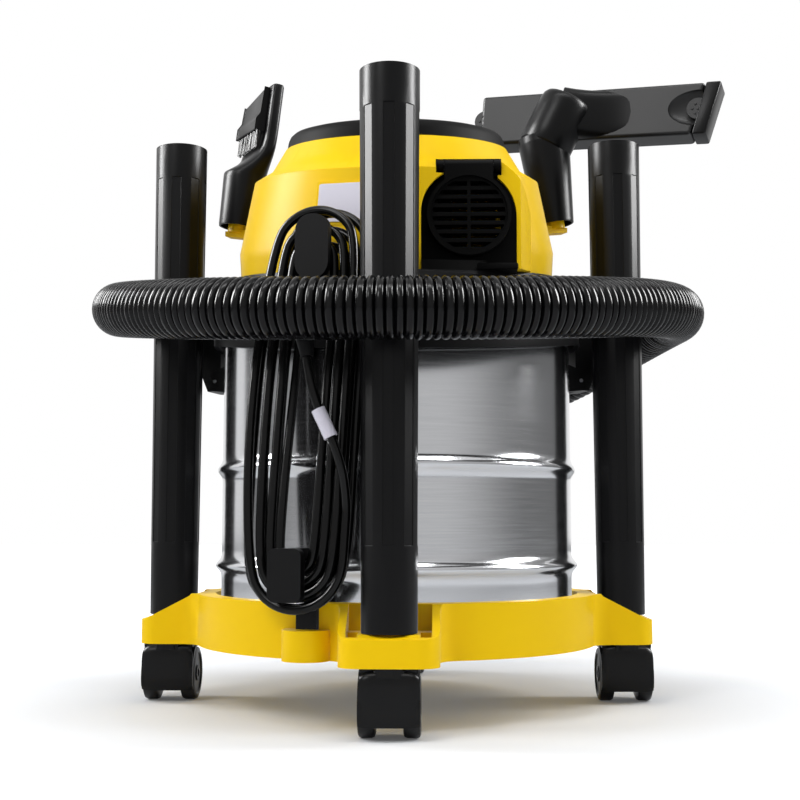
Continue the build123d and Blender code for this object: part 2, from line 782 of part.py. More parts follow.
# Suction hose: a ribbed tube from the inlet, once round the machine, to the hand tube at the front
hose_length = 2 * hose_straight + inlet_y * pi / 2 + 1.5 * hose_ring * pi
rib_count = round(hose_length / rib_pitch)
rib_step = hose_length / rib_count


def hose_plane(s):
    """Plane across the hose at this length, with its x axis kept upright."""
    near = hose_point(max(s - 0.5, 0))
    far = hose_point(min(s + 0.5, hose_length))
    return Plane(hose_point(s), x_dir=(0, 0, 1), z_dir=far - near)


rib_profile = ((0, hose_valley), (0.28, hose_radius), (0.62, hose_radius), (0.9, hose_valley))
with BuildPart() as suction_hose:
    for rib in range(rib_count):
        for share, radius in rib_profile:
            with BuildSketch(hose_plane((rib + share) * rib_step)):
                Circle(radius)
    with BuildSketch(hose_plane(hose_length)):
        Circle(hose_valley)
    loft(ruled=True)
    for rib in range(rib_count + 1):
        with BuildSketch(hose_plane(rib * rib_step)):
            Circle(hose_bore)
    loft(ruled=True, mode=Mode.SUBTRACT)
finish(suction_hose, "suction_hose")

# Hose cuff at the inlet, and the hand tube at the other end
with BuildPart() as hose_cuff:
    with BuildSketch(Plane.YZ.offset(port_end_x)):
        with Locations((inlet_y, inlet_z)):
            Circle(cuff_radius)
            Circle(hose_bore, mode=Mode.SUBTRACT)
    extrude(amount=hose_start_x - port_end_x)
finish(hose_cuff, "hose_cuff")

hand_start = hose_point(hose_length)
hand_bend = hand_start + Vector(50, 0, 0)
hand_end = hand_bend + Vector(34, 0, 13)
with BuildPart() as hand_tube:
    with BuildLine() as hand_path:
        FilletPolyline(hand_start, hand_bend, hand_end, radius=90)
    with BuildSketch(Plane(hand_start, x_dir=(0, 0, 1), z_dir=(1, 0, 0))):
        Circle(20)
        Circle(17, mode=Mode.SUBTRACT)
    sweep(path=hand_path.line)
    with BuildSketch(Plane(hand_start, x_dir=(0, 0, 1), z_dir=(1, 0, 0))):
        Circle(cuff_radius)
        Circle(19, mode=Mode.SUBTRACT)
    extrude(amount=30)
finish(hand_tube, "hand_tube")

# Cradle on the collar's front that carries the hand tube
cradle_x = 56
with BuildPart() as hose_cradle:
    with BuildSketch(Plane.YZ.offset(cradle_x)):
        with Locations((hand_start.Y, hand_start.Z)):
            Circle(cuff_radius + 5)
        with Locations((158, 320)):
            Rectangle(56, 14)
        with Locations((cradle_y + 2, 320)):
            Rectangle(4, 24)
        with Locations((hand_start.Y, hand_start.Z)):
            Circle(cuff_radius + 0.4, mode=Mode.SUBTRACT)
        with Locations((hand_start.Y, hand_start.Z + 22)):
            Rectangle(80, 40, mode=Mode.SUBTRACT)
    extrude(amount=12, both=True)
finish(hose_cradle, "hose_cradle")

# Cord hooks: a tongue on the collar's pad above, and a down-turned hook in the dolly's pocket below
tongue_reach = 157
with BuildPart() as cord_hook_upper:
    with BuildSketch(radial_plane(hank_angle)):
        Polygon((hank_pad_reach, 283), (143.5, 283), (143.5, 297), (tongue_reach, 297),
                (tongue_reach + 6, 301), (tongue_reach + 6, 330), (tongue_reach, 330), (tongue_reach, 310),
                (hank_pad_reach, 308))
    extrude(amount=6, both=True)
    with BuildSketch(face_plane(hank_angle, tongue_reach, 318)):
        RectangleRounded(24, 44, 11)
    extrude(amount=6)
finish(cord_hook_upper, "cord_hook_upper")

with BuildPart() as cord_hook_lower:
    with BuildSketch(radial_plane(hook_angle)):
        Polygon((hook_reach - 3.5, 56), (hook_reach + 3.5, 56), (hook_reach + 3.5, 112), (179, 112),
                (179, 86), (185, 86), (185, 114), (181, 119), (hook_reach, 119), (hook_reach - 3.5, 115))
    extrude(amount=hook_half, both=True)
    with BuildSketch(face_plane(hook_angle, 179, 102)):
        RectangleRounded(24, 34, 5)
    extrude(amount=6)
finish(cord_hook_lower, "cord_hook_lower")

# Power cord: wound on the hooks in two layers, in over the back one and out over the front one
hank_top = face_plane(hank_angle, hank_top_reach, hank_top_z)
hank_bottom = face_plane(hook_angle, hank_bottom_reach, hank_bottom_z).origin
hank_up = (hank_top.origin - hank_bottom).normalized()
hank_out = hank_top.x_dir.cross(hank_up)
hank_plane = Plane(hank_bottom, x_dir=hank_up.cross(hank_out), z_dir=hank_out)
hank_run = (hank_top.origin - hank_bottom).length
gland_height = (gland_z - hank_bottom_z) / (hank_top_z - hank_bottom_z) * hank_run
back = -cord_pitch / 2
front = cord_pitch / 2
inner_half = hank_half - (hank_turns - 1) * cord_pitch
tail_height = 12
start_half = hank_half + cord_pitch


def hank(x, y, depth):
    """Point in the hank's own frame: across, up its axis, and out from the drum."""
    return hank_plane.from_local_coords(Vector(x, y, depth))


with BuildPart() as power_cord_hank:
    with BuildLine() as hank_line:
        left = start_half
        height = gland_height
        for turn in range(hank_turns - 1):
            half = hank_half - turn * cord_pitch
            arc = half - cord_pitch / 2
            middle = (half - left) / 2
            Line(hank(-left, height, back), hank(-left, 0, back))
            ThreePointArc(hank(-left, 0, back), hank(middle, middle - half, back), hank(half, 0, back))
            Line(hank(half, 0, back), hank(half, hank_run, back))
            ThreePointArc(hank(half, hank_run, back), hank(half - arc, hank_run + arc, back),
                          hank(half - 2 * arc, hank_run, back))
            left = half - cord_pitch
            height = hank_run
        crossing = hank(-inner_half, hank_run / 2, 0)
        climb = TangentArc(hank(-inner_half, hank_run, back), crossing, tangent=-hank_up)
        TangentArc(climb @ 1, hank(-inner_half, 0, front), tangent=climb % 1)
        for turn in range(hank_turns):
            half = inner_half + turn * cord_pitch
            arc = half + cord_pitch / 2
            last = turn == hank_turns - 1
            ThreePointArc(hank(-half, 0, front), hank(0, -half, front), hank(half, 0, front))
            Line(hank(half, 0, front), hank(half, tail_height if last else hank_run, front))
            if not last:
                ThreePointArc(hank(half, hank_run, front), hank(half - arc, hank_run + arc, front),
                              hank(half - 2 * arc, hank_run, front))
                Line(hank(half - 2 * arc, hank_run, front), hank(half - 2 * arc, 0, front))
    hank_wire = hank_line.wire()
    with BuildSketch(Plane(hank_wire @ 0, x_dir=hank_plane.x_dir, z_dir=hank_wire % 0)):
        Circle(cord_radius)
    sweep(path=hank_wire)
finish(power_cord_hank, "power_cord_hank")

samples = [hank_wire @ (i / 1200) for i in range(1201)]
spacing = hank_wire.length / 1200
apart = int(40 / spacing)
closest = min((a - b).length for i, a in enumerate(samples) for b in samples[i + apart:])
print(f"hank: length {hank_wire.length:.0f} mm, least self-gap {closest - 2 * cord_radius:.2f} mm, "
      f"tightest bend {inner_half:.1f} mm")

# Strain-relief gland on the collar's pad, with the boot the cord leaves by
boot_length = 19
with BuildPart() as cord_gland:
    boot_plane = Plane(hank(-start_half, gland_height, back), x_dir=hank_plane.x_dir, z_dir=hank_up)
    with BuildSketch(boot_plane):
        Circle(4.6)
    with BuildSketch(boot_plane.offset(boot_length)):
        Circle(5.8)
    loft()
    with BuildSketch(face_plane(hank_angle, hank_pad_reach, 289)):
        with Locations((-start_half - 4.5, 0)):
            RectangleRounded(14, 20, 3)
    extrude(amount=12)
finish(cord_gland, "cord_gland")


def bend_radii(points):
    """Bend radius at each inner corner of a route, from its shorter neighbouring run."""
    radii = []
    for a, b, c in zip(points, points[1:], points[2:]):
        half_turn = radians((b - a).get_angle(c - b)) / 2
        radii.append(0.45 * min((b - a).length, (c - b).length) / tan(half_turn))
    return radii


# Tail of the cord: leaves the hank's outer run and rises to the plug
tail_points = [hank(hank_half, tail_height, front), hank(hank_half, 32, front), hank(31, 60, 15),
               hank(10, 100, 22), hank(6, 124, 23)]
tail_radii = bend_radii(tail_points)
print("tail: bend radii", [round(r, 1) for r in tail_radii])
with BuildPart() as power_cord_tail:
    with BuildLine() as tail_line:
        FilletPolyline(*tail_points, radius=tail_radii)
    with BuildSketch(Plane(tail_points[0], x_dir=hank_plane.x_dir, z_dir=hank_up)):
        Circle(cord_radius)
    sweep(path=tail_line.wire())
finish(power_cord_tail, "power_cord_tail")

# Blank pale sleeve round the tail
sleeve_length = 20
sleeve_run = (tail_points[3] - tail_points[2]).normalized()
sleeve_start = tail_points[2] + sleeve_run * 14.2
with BuildPart() as cord_sleeve:
    with BuildSketch(Plane(sleeve_start, x_dir=hank_out, z_dir=sleeve_run)):
        Circle(4.6)
        Circle(cord_radius, mode=Mode.SUBTRACT)
    extrude(amount=sleeve_length)
finish(cord_sleeve, "cord_sleeve")

# Plug: boot, body and two flat pins
plug_plane = Plane(tail_points[4], x_dir=hank_plane.x_dir, z_dir=tail_points[4] - tail_points[3])
with BuildPart() as plug:
    with BuildSketch(plug_plane):
        Circle(4.2)
    with BuildSketch(plug_plane.offset(16)):
        Circle(7)
    loft()
    with BuildSketch(plug_plane.offset(16)):
        RectangleRounded(25, 20, 8)
    extrude(amount=18)
    with BuildSketch(plug_plane.offset(34)):
        with Locations((-6.35, 0), (6.35, 0)):
            Rectangle(1.6, 6.3)
    extrude(amount=15)
finish(plug, "plug")

# Floor nozzle: a conical neck parked on the hood's pin, an elbow, and the wide suction head
neck_length = 70
neck_radius = 21.5
elbow = floor_pin_plane.offset(neck_length)
nozzle_plane = Plane((168, 70, 478), x_dir=(0.94, -0.342, -0.06), z_dir=(-0.342, -0.94, 0.08))
nozzle_long = 210
nozzle_high = 44
nozzle_deep = 26
with BuildPart() as floor_nozzle_neck:
    with BuildSketch(floor_pin_plane):
        Circle(15.8)
    with BuildSketch(elbow):
        Circle(neck_radius)
    loft()
    with BuildSketch(floor_pin_plane):
        Circle(14)
    extrude(amount=46, mode=Mode.SUBTRACT)
finish(floor_nozzle_neck, "floor_nozzle_neck")

clip_places = ((-nozzle_long / 2 + 22, 0), (nozzle_long / 2 - 22, 0))
with BuildPart() as floor_nozzle:
    with BuildSketch(nozzle_plane):
        RectangleRounded(nozzle_long, nozzle_high, 4)
    extrude(amount=nozzle_deep / 2, both=True)
    with BuildSketch(elbow):
        Circle(neck_radius)
    with BuildSketch(Plane(elbow.origin + Vector(9, -2, 17), x_dir=(0, 1, 0), z_dir=(0.6, -0.1, 0.8))):
        Circle(neck_radius)
    with BuildSketch(Plane(elbow.origin + Vector(38, -4, 26), x_dir=(0, 1, 0), z_dir=(0.97, -0.2, 0.1))):
        Circle(neck_radius - 3)
    loft()
    with BuildSketch(nozzle_plane.offset(nozzle_deep / 2)):
        with Locations(*clip_places):
            Circle(15)
    extrude(amount=-4, mode=Mode.SUBTRACT)
    with BuildSketch(nozzle_plane.offset(-nozzle_deep / 2)):
        Rectangle(184, 15)
    extrude(amount=14, mode=Mode.SUBTRACT)
finish(floor_nozzle, "floor_nozzle")

# Round clips in the nozzle's end recesses, and the pair of lips along its slot
with BuildPart() as floor_nozzle_clips:
    with BuildSketch(nozzle_plane.offset(nozzle_deep / 2 - 4)):
        with Locations(*clip_places):
            Circle(9)
    extrude(amount=3)
    with BuildSketch(nozzle_plane.offset(nozzle_deep / 2 - 1)):
        with Locations(*clip_places):
            with HexLocations(2.2, 3, 3):
                Circle(1.1)
    extrude(amount=0.8)
finish(floor_nozzle_clips, "floor_nozzle_clips")

with BuildPart() as floor_nozzle_lips:
    with BuildSketch(nozzle_plane.offset(-nozzle_deep / 2)):
        with Locations((0, -11), (0, 11)):
            Rectangle(188, 4)
    extrude(amount=-5)
finish(floor_nozzle_lips, "floor_nozzle_lips")

# Brush nozzle: a socket on the hood's other pin, a scooped neck and a flat head with a sliding brush strip
socket_length = 40
head_bottom = 66
head_top = 121
strip_bottom = 81.5
brush_axis = brush_pin_plane.z_dir
brush_head = Plane(brush_pin_plane.origin + Vector(7, 13, 0), x_dir=(-0.47, 0.88, 0.057), z_dir=brush_axis)
with BuildPart() as brush_nozzle:
    with BuildSketch(brush_pin_plane):
        Circle(15.6)
    with BuildSketch(brush_pin_plane.offset(socket_length)):
        Circle(17)
    loft()
    socket_end = brush_pin_plane.offset(socket_length).origin
    with BuildSketch(Plane(socket_end, x_dir=brush_head.x_dir, z_dir=brush_axis)):
        Circle(17)
    with BuildSketch(brush_head.offset(head_bottom)):
        SlotOverall(60, 13)
    loft()
    with BuildSketch(brush_head.offset(head_bottom)):
        SlotOverall(60, 13)
    extrude(amount=head_top - head_bottom)
    with BuildSketch(brush_pin_plane):
        Circle(12)
    extrude(amount=38, mode=Mode.SUBTRACT)
    with BuildSketch(brush_head.offset(head_top)):
        SlotOverall(52, 6)
    extrude(amount=-30, mode=Mode.SUBTRACT)
finish(brush_nozzle, "brush_nozzle")

bristle_rows = 6
bristle_columns = 54
bristle_length = 15
strip_plane = Plane(brush_head.origin, x_dir=brush_head.y_dir, z_dir=brush_head.x_dir)
with BuildPart() as brush_strip:
    with BuildSketch(strip_plane):
        Polygon((6.5, strip_bottom), (13.5, strip_bottom), (13.5, 90), (11, 96), (10, head_top - 1),
                (6.5, head_top - 1))
    extrude(amount=23, both=True)
    with BuildSketch(brush_head.offset(strip_bottom)):
        with Locations((0, 10)):
            with GridLocations(0.8, 0.95, bristle_columns, bristle_rows):
                Rectangle(0.45, 0.45)
    extrude(amount=-bristle_length)
finish(brush_strip, "brush_strip")
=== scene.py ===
import random
from math import cos, exp, pi, radians, sin

import bpy
from mathutils import Matrix, Vector


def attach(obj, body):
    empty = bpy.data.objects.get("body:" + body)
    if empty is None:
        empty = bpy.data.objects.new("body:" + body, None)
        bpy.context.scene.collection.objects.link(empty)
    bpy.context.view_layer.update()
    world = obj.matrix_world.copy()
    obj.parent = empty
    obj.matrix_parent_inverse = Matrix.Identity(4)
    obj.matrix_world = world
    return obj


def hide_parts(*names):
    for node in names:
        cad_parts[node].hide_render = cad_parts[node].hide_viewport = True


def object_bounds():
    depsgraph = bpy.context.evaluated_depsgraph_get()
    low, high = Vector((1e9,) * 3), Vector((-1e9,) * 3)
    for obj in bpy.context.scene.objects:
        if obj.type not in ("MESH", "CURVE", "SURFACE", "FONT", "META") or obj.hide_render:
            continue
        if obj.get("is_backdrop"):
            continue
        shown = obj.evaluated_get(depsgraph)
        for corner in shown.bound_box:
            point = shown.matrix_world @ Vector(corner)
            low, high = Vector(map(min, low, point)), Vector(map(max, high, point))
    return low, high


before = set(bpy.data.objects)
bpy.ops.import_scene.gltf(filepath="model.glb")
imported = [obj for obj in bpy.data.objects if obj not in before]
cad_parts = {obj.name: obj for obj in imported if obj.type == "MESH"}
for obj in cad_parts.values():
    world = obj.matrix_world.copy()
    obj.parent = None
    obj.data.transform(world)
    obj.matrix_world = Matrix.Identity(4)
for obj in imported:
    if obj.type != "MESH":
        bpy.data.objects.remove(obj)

cad_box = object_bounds()

# Camera: it stands low behind the machine and looks up a little, so the tubes tower over the
# dolly. The lens is given on a frame 36 mm wide.
MM = 0.001
camera_place = (26.3, -971.3, 134.5)
camera_rise = 0.0984
camera_turn = 0.0244
lens = bpy.data.cameras.new("camera")
lens.lens = 56.52
lens.sensor_fit = "HORIZONTAL"
lens.sensor_width = 36
camera = bpy.data.objects.new("camera", lens)
camera.location = [c * MM for c in camera_place]
camera.rotation_euler = (pi / 2 + camera_rise, 0, camera_turn)
bpy.context.scene.collection.objects.link(camera)
bpy.context.scene.camera = camera
bpy.context.scene.view_settings.view_transform = "Standard"

# Studio: a white surround and a white paper floor that keeps a soft shadow under the dolly. A soft
# box stands at the front left, a tall strip light and a panel for gloss at each side, and a long
# strip hangs overhead. Places and sizes are in metres.
surround_on_matt = 0.42
floor_size = 14
shadow_near = 0.2
shadow_far = 0.75
floor_lift_near = 0.06
floor_lift_far = 0.9


def linear(code):
    """Linear colour of an sRGB hex value."""
    parts = [int(code[i:i + 2], 16) / 255 for i in (1, 3, 5)]
    return [c / 12.92 if c <= 0.04045 else ((c + 0.055) / 1.055) ** 2.4 for c in parts] + [1.0]


def add(tree, kind, links=(), **settings):
    """Add a node, set properties or sockets by name, link (from node, from socket, to socket)."""
    item = tree.nodes.new(kind)
    for key, value in settings.items():
        if hasattr(item, key):
            setattr(item, key, value)
        else:
            item.inputs[key.replace("_", " ")].default_value = value
    for source, out, into in links:
        tree.links.new(source.outputs[out], item.inputs[into])
    return item


surround = bpy.data.worlds.new("white surround")
bpy.context.scene.world = surround
surround.use_nodes = True
tree = surround.node_tree
tree.nodes.clear()
rays = add(tree, "ShaderNodeLightPath")
seen = add(tree, "ShaderNodeMath", [(rays, "Is Camera Ray", 0), (rays, "Is Glossy Ray", 1)],
           operation="MAXIMUM")
through = add(tree, "ShaderNodeMath", [(seen, 0, 0), (rays, "Is Transmission Ray", 1)],
              operation="MAXIMUM")
level = add(tree, "ShaderNodeMapRange", [(through, 0, "Value")],
            To_Min=surround_on_matt, To_Max=1.0)
glow = add(tree, "ShaderNodeBackground", [(level, 0, "Strength")], Color=linear("#FFFFFF"))
add(tree, "ShaderNodeOutputWorld", [(glow, 0, "Surface")])

bpy.ops.object.select_all(action="DESELECT")
bpy.ops.mesh.primitive_plane_add(size=floor_size)
floor = bpy.context.object
floor.name = "floor"
# Matt paper: an even white, with the shadow kept close under the machine.
paper = bpy.data.materials.new("matt white paper")
paper.use_nodes = True
tree = paper.node_tree
tree.nodes.clear()
rays = add(tree, "ShaderNodeLightPath")
where = add(tree, "ShaderNodeTexCoord")
away = add(tree, "ShaderNodeVectorMath", [(where, "Object", 0)], operation="LENGTH")
fade = add(tree, "ShaderNodeMapRange", [(away, "Value", "Value")], From_Min=shadow_near,
           From_Max=shadow_far, To_Min=floor_lift_near, To_Max=floor_lift_far)
matt = add(tree, "ShaderNodeBsdfDiffuse", Color=linear("#E0E2E5"))
lit = add(tree, "ShaderNodeMath", [(rays, "Is Camera Ray", 0), (fade, 0, 1)],
          operation="MULTIPLY")
lift = add(tree, "ShaderNodeEmission", [(lit, 0, "Strength")], Color=linear("#FFFFFF"))
both = add(tree, "ShaderNodeAddShader", [(matt, 0, 0), (lift, 0, 1)])
add(tree, "ShaderNodeOutputMaterial", [(both, 0, "Surface")])
floor.data.materials.append(paper)
floor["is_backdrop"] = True

for name, place, aim, size, power in (
    ("softbox_front", (-0.95, -1.45, 1.5), (0.1, 0, 0.35), (0.6, 0.6), 12.5),
    ("strip_left", (-1.5, 0.2, 1.1), (0, 0, 0.4), (0.26, 1.2), 12),
    ("strip_right", (1.5, 0.05, 1.1), (0, 0, 0.4), (0.26, 1.2), 13),
    ("strip_top", (0.05, -0.72, 1.9), (0.05, -0.1, 0.2), (1.6, 0.22), 15),
    ("gloss_left", (-1.5, -0.02, 1.08), (0, -0.02, 0.9), (0.56, 0.9), 58),
    ("gloss_right", (1.5, 0.0, 1.08), (0, 0.0, 0.9), (0.6, 0.9), 56),
):
    lamp = bpy.data.lights.new(name, "AREA")
    lamp.shape = "RECTANGLE"
    lamp.size, lamp.size_y = size
    lamp.energy = power
    stand = bpy.data.objects.new(name, lamp)
    stand.location = place
    stand.rotation_euler = (Vector(aim) - Vector(place)).to_track_quat("-Z", "Y").to_euler()
    # The gloss panels only draw the long highlights on the black plastic
    stand.visible_diffuse = not name.startswith("gloss")
    bpy.context.scene.collection.objects.link(stand)

# Screen: a tall felt screen that curves round behind the camera, palest in its middle. Only gloss
# sees it, so the steel runs softly from a pale middle to grey flanks and the black plastic stays
# black. Sizes are in metres, turns in degrees.
screen_radius = 2.6
screen_low = -0.3
screen_high = 3.0
screen_from = -112
screen_to = 128
screen_steps = 48
pale_within = 25
grey_beyond = 92
pale_glow = 0.72
grey_glow = 0.2


def built(name, points, faces, edges=()):
    """Object made of these points, faces and loose edges, put into the scene."""
    mesh = bpy.data.meshes.new(name)
    mesh.from_pydata(points, edges, faces)
    piece = bpy.data.objects.new(name, mesh)
    bpy.context.scene.collection.objects.link(piece)
    return piece


points = []
for step in range(screen_steps + 1):
    turn = radians(screen_from + (screen_to - screen_from) * step / screen_steps)
    for z in (screen_low, screen_high):
        points.append((screen_radius * sin(turn), -screen_radius * cos(turn), z))
faces = [(2 * k, 2 * k + 2, 2 * k + 3, 2 * k + 1) for k in range(screen_steps)]
screen = built("felt_screen", points, faces)
# Felt: an even grey without any gloss.
felt = bpy.data.materials.new("grey felt")
felt.use_nodes = True
tree = felt.node_tree
tree.nodes.clear()
where = add(tree, "ShaderNodeTexCoord")
axes = add(tree, "ShaderNodeSeparateXYZ", [(where, "Object", "Vector")])
behind = add(tree, "ShaderNodeMath", [(axes, "Y", 0)], operation="MULTIPLY")
behind.inputs[1].default_value = -1
round_by = add(tree, "ShaderNodeMath", [(axes, "X", 0), (behind, 0, 1)], operation="ARCTAN2")
off_middle = add(tree, "ShaderNodeMath", [(round_by, 0, 0)], operation="ABSOLUTE")
tone = add(tree, "ShaderNodeMapRange", [(off_middle, 0, "Value")],
           interpolation_type="SMOOTHSTEP", From_Min=radians(pale_within),
           From_Max=radians(grey_beyond), To_Min=pale_glow, To_Max=grey_glow)
felt_glow = add(tree, "ShaderNodeEmission", [(tone, 0, "Strength")], Color=linear("#FFFFFF"))
add(tree, "ShaderNodeOutputMaterial", [(felt_glow, 0, "Surface")])
screen.data.materials.append(felt)
screen.visible_camera = False
screen.visible_shadow = False
screen.visible_diffuse = False
screen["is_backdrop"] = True

# Casters: twin-wheel furniture casters. A nylon hood with a mudguard is moulded with its axle and
# with the stem that turns in the dolly's arm. Two nylon wheels are pushed on from both sides.


def moulded(name, tone, shade, rough, grain_mm, relief, ior=1.46):
    """Moulded plastic: its colour drifts between two close tones, over a fine eroded grain."""
    cloud_mm = 60
    gloss_drift = 0.05
    grain_depth = 0.05
    material = bpy.data.materials.new(name)
    material.use_nodes = True
    tree = material.node_tree
    shader = tree.nodes["Principled BSDF"]
    shader.inputs["IOR"].default_value = ior
    where = add(tree, "ShaderNodeTexCoord")
    cloud = add(tree, "ShaderNodeTexNoise", [(where, "Object", "Vector")],
                Scale=1 / (cloud_mm * MM), Detail=3.0)
    paint = add(tree, "ShaderNodeMix", [(cloud, "Fac", 0)], data_type="RGBA")
    paint.inputs[6].default_value = linear(tone)
    paint.inputs[7].default_value = linear(shade)
    tree.links.new(paint.outputs[2], shader.inputs["Base Color"])
    gloss = add(tree, "ShaderNodeMapRange", [(cloud, "Fac", "Value")],
                To_Min=rough - gloss_drift, To_Max=rough + gloss_drift)
    tree.links.new(gloss.outputs[0], shader.inputs["Roughness"])
    grain = add(tree, "ShaderNodeTexNoise", [(where, "Object", "Vector")],
                Scale=1 / (grain_mm * MM), Detail=2.0)
    bump = add(tree, "ShaderNodeBump", [(grain, "Fac", "Height")], Strength=relief,
               Distance=grain_depth * MM)
    tree.links.new(bump.outputs[0], shader.inputs["Normal"])
    return material


def pick(piece):
    """Make this the only selected piece and the active one."""
    bpy.ops.object.select_all(action="DESELECT")
    piece.select_set(True)
    bpy.context.view_layer.objects.active = piece


def tidy_mesh(piece, angle=40):
    """Merge doubled points, turn the faces outwards and shade smooth below an angle."""
    weld_gap = 0.002
    pick(piece)
    bpy.ops.object.mode_set(mode="EDIT")
    bpy.ops.mesh.select_all(action="SELECT")
    bpy.ops.mesh.remove_doubles(threshold=weld_gap * MM)
    bpy.ops.mesh.normals_make_consistent(inside=False)
    bpy.ops.object.mode_set(mode="OBJECT")
    bpy.ops.object.shade_smooth_by_angle(angle=radians(angle))


def rounded(piece, width, segments, angle=30):
    """Round the edges that turn by more than an angle, to a width in millimetres."""
    bpy.context.view_layer.objects.active = piece
    rounding = piece.modifiers.new("rounding", "BEVEL")
    rounding.width = width * MM
    rounding.segments = segments
    rounding.limit_method = "ANGLE"
    rounding.angle_limit = radians(angle)
    bpy.ops.object.modifier_apply(modifier="rounding")


def even_out(piece):
    """Let the large faces lead the shading, so they stay even up to their rounded edges."""
    piece.modifiers.new("flat faces", "WEIGHTED_NORMAL").keep_sharp = True
    bpy.ops.object.modifier_apply(modifier="flat faces")


def soften(node, body, material, width=0.7, segments=2, angle=28, smooth=35):
    """Moulded copy of a solid, its facets joined and edges rounded. It stands for the solid."""
    facet_gap = 0.005
    facet_angle = 0.5
    piece = bpy.data.objects.new(node + "_moulded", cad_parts[node].data.copy())
    bpy.context.scene.collection.objects.link(piece)
    piece.data.materials.clear()
    piece.data.materials.append(material)
    pick(piece)
    bpy.ops.object.mode_set(mode="EDIT")
    bpy.ops.mesh.select_all(action="SELECT")
    bpy.ops.mesh.remove_doubles(threshold=facet_gap * MM)
    bpy.ops.mesh.dissolve_limited(angle_limit=radians(facet_angle))
    bpy.ops.object.mode_set(mode="OBJECT")
    rounded(piece, width, segments, angle)
    bpy.ops.object.shade_smooth_by_angle(angle=radians(smooth))
    even_out(piece)
    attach(piece, body)
    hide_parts(node)
    return piece


def spun(name, outline, steps):
    """Piece turned about the Z axis from a closed outline of (radius, height) in millimetres."""
    corners = [(r * MM, 0, z * MM) for r, z in outline]
    edges = [(i, (i + 1) % len(corners)) for i in range(len(corners))]
    piece = built(name, corners, [], edges)
    pick(piece)
    bpy.ops.object.mode_set(mode="EDIT")
    bpy.ops.mesh.select_all(action="SELECT")
    bpy.ops.mesh.spin(steps=steps, angle=2 * pi, center=(0, 0, 0), axis=(0, 0, 1))
    bpy.ops.object.mode_set(mode="OBJECT")
    return piece


# Glossy black nylon: smooth from the tool, so it shows thin bright edges.
caster_nylon = moulded("black nylon", "#070708", "#0A0A0B", 0.3, 1.0, 0.06, 1.28)
# Dark grey nylon: a little paler and duller, so the wheels stand out from their hoods.
wheel_nylon = moulded("dark grey nylon", "#0F0F10", "#131314", 0.36, 1.0, 0.1, 1.36)
wheel_outline = ((3.2, 8.8), (17.5, 8.8), (19.3, 9.5), (20, 11.3), (20, 17.5), (19.3, 19.3),
                 (17.5, 20), (15.6, 20), (14.9, 18.9), (6.3, 18.9), (5.7, 20), (3.2, 20))
wheel_sides = 48
wheel_radius = 20
caster_circle = 174
caster_trail = 14
guard_radius = 23.6
guard_wall = 1.0
guard_half = 19.5
guard_taper = 3.0
guard_taper_from = 0.6
guard_rounding = 1.8
guard_columns = 24
# Side view of a mudguard about its axle: round under the axle's height, upright above it and
# rounded off at the top
guard_profile = [(-cos(radians(a)), sin(radians(a))) for a in range(-28, 1, 4)]
guard_profile += [(-1, 0.2), (-1, 0.4), (-1, 0.6), (-0.99, 0.75), (-0.96, 0.86), (-0.9, 0.95),
                  (-0.8, 1.0), (-0.6, 1.01)]
guard_rows = len(guard_profile) - 1


def guard_point(row, column, radius):
    """Point of a mudguard about its axle, narrower towards its top, with rounded flanks."""
    share = 2 * column / guard_columns - 1
    rise = max(0, (row / guard_rows - guard_taper_from) / (1 - guard_taper_from))
    half = guard_half - guard_taper * rise ** 2
    bend = radius - guard_rounding * abs(share) ** 6
    out, up = guard_profile[row]
    return Vector((half * share, bend * out, bend * up))


# Both skins of a mudguard and the border that joins them
width = guard_columns + 1
layer = width * (guard_rows + 1)
guard_faces = []
for row in range(guard_rows):
    for column in range(guard_columns):
        k = row * width + column
        guard_faces += [(k, k + 1, k + width + 1, k + width),
                        (layer + k, layer + k + width, layer + k + width + 1, layer + k + 1)]
border = list(range(width)) + [r * width + width - 1 for r in range(1, guard_rows + 1)]
border += [layer - 1 - c for c in range(1, width)]
border += [r * width for r in range(guard_rows - 1, 0, -1)]
guard_faces += [(a, layer + a, layer + b, b) for a, b in zip(border, border[1:] + border[:1])]

for place, angle in (("rear", -90), ("right", 0), ("front", 90), ("left", 180)):
    soften("caster_hood_" + place, "caster_" + place, caster_nylon, 0.8)
    axle = Vector((caster_circle * cos(radians(angle)),
                   caster_circle * sin(radians(angle)) + caster_trail, wheel_radius))
    points = []
    for radius in (guard_radius, guard_radius - guard_wall):
        for row in range(guard_rows + 1):
            points += [(axle + guard_point(row, c, radius)) * MM for c in range(width)]
    guard = built("caster_guard_" + place, points, guard_faces)
    tidy_mesh(guard, 50)
    guard.data.materials.append(caster_nylon)
    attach(guard, "caster_" + place)
    wheels = spun("caster_wheels_" + place + "_turned", wheel_outline, wheel_sides)
    wheels.data.transform(Matrix.Rotation(pi / 2, 4, "Y"))
    bpy.ops.object.mode_set(mode="EDIT")
    bpy.ops.mesh.select_all(action="SELECT")
    bpy.ops.mesh.duplicate()
    bpy.ops.transform.mirror(constraint_axis=(True, False, False), center_override=(0, 0, 0))
    bpy.ops.object.mode_set(mode="OBJECT")
    wheels.data.transform(Matrix.Translation(axle * MM))
    tidy_mesh(wheels, 35)
    wheels.data.materials.append(wheel_nylon)
    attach(wheels, "wheels_" + place)
    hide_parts("caster_wheels_" + place)

# Dolly: one large yellow moulding, a ring that holds the drum's foot and four arms that flow out
# of it, each with a shelf and peg for a parked tube. Its edges are well rounded.
# Satin ABS in a warm yellow: smooth broad highlights, no visible grain from a step away.
yellow_abs = moulded("yellow ABS", "#F4CA08", "#EFC306", 0.4, 1.1, 0.06, 1.16)
dolly = soften("chassis", "machine", yellow_abs, 2.0, 3)
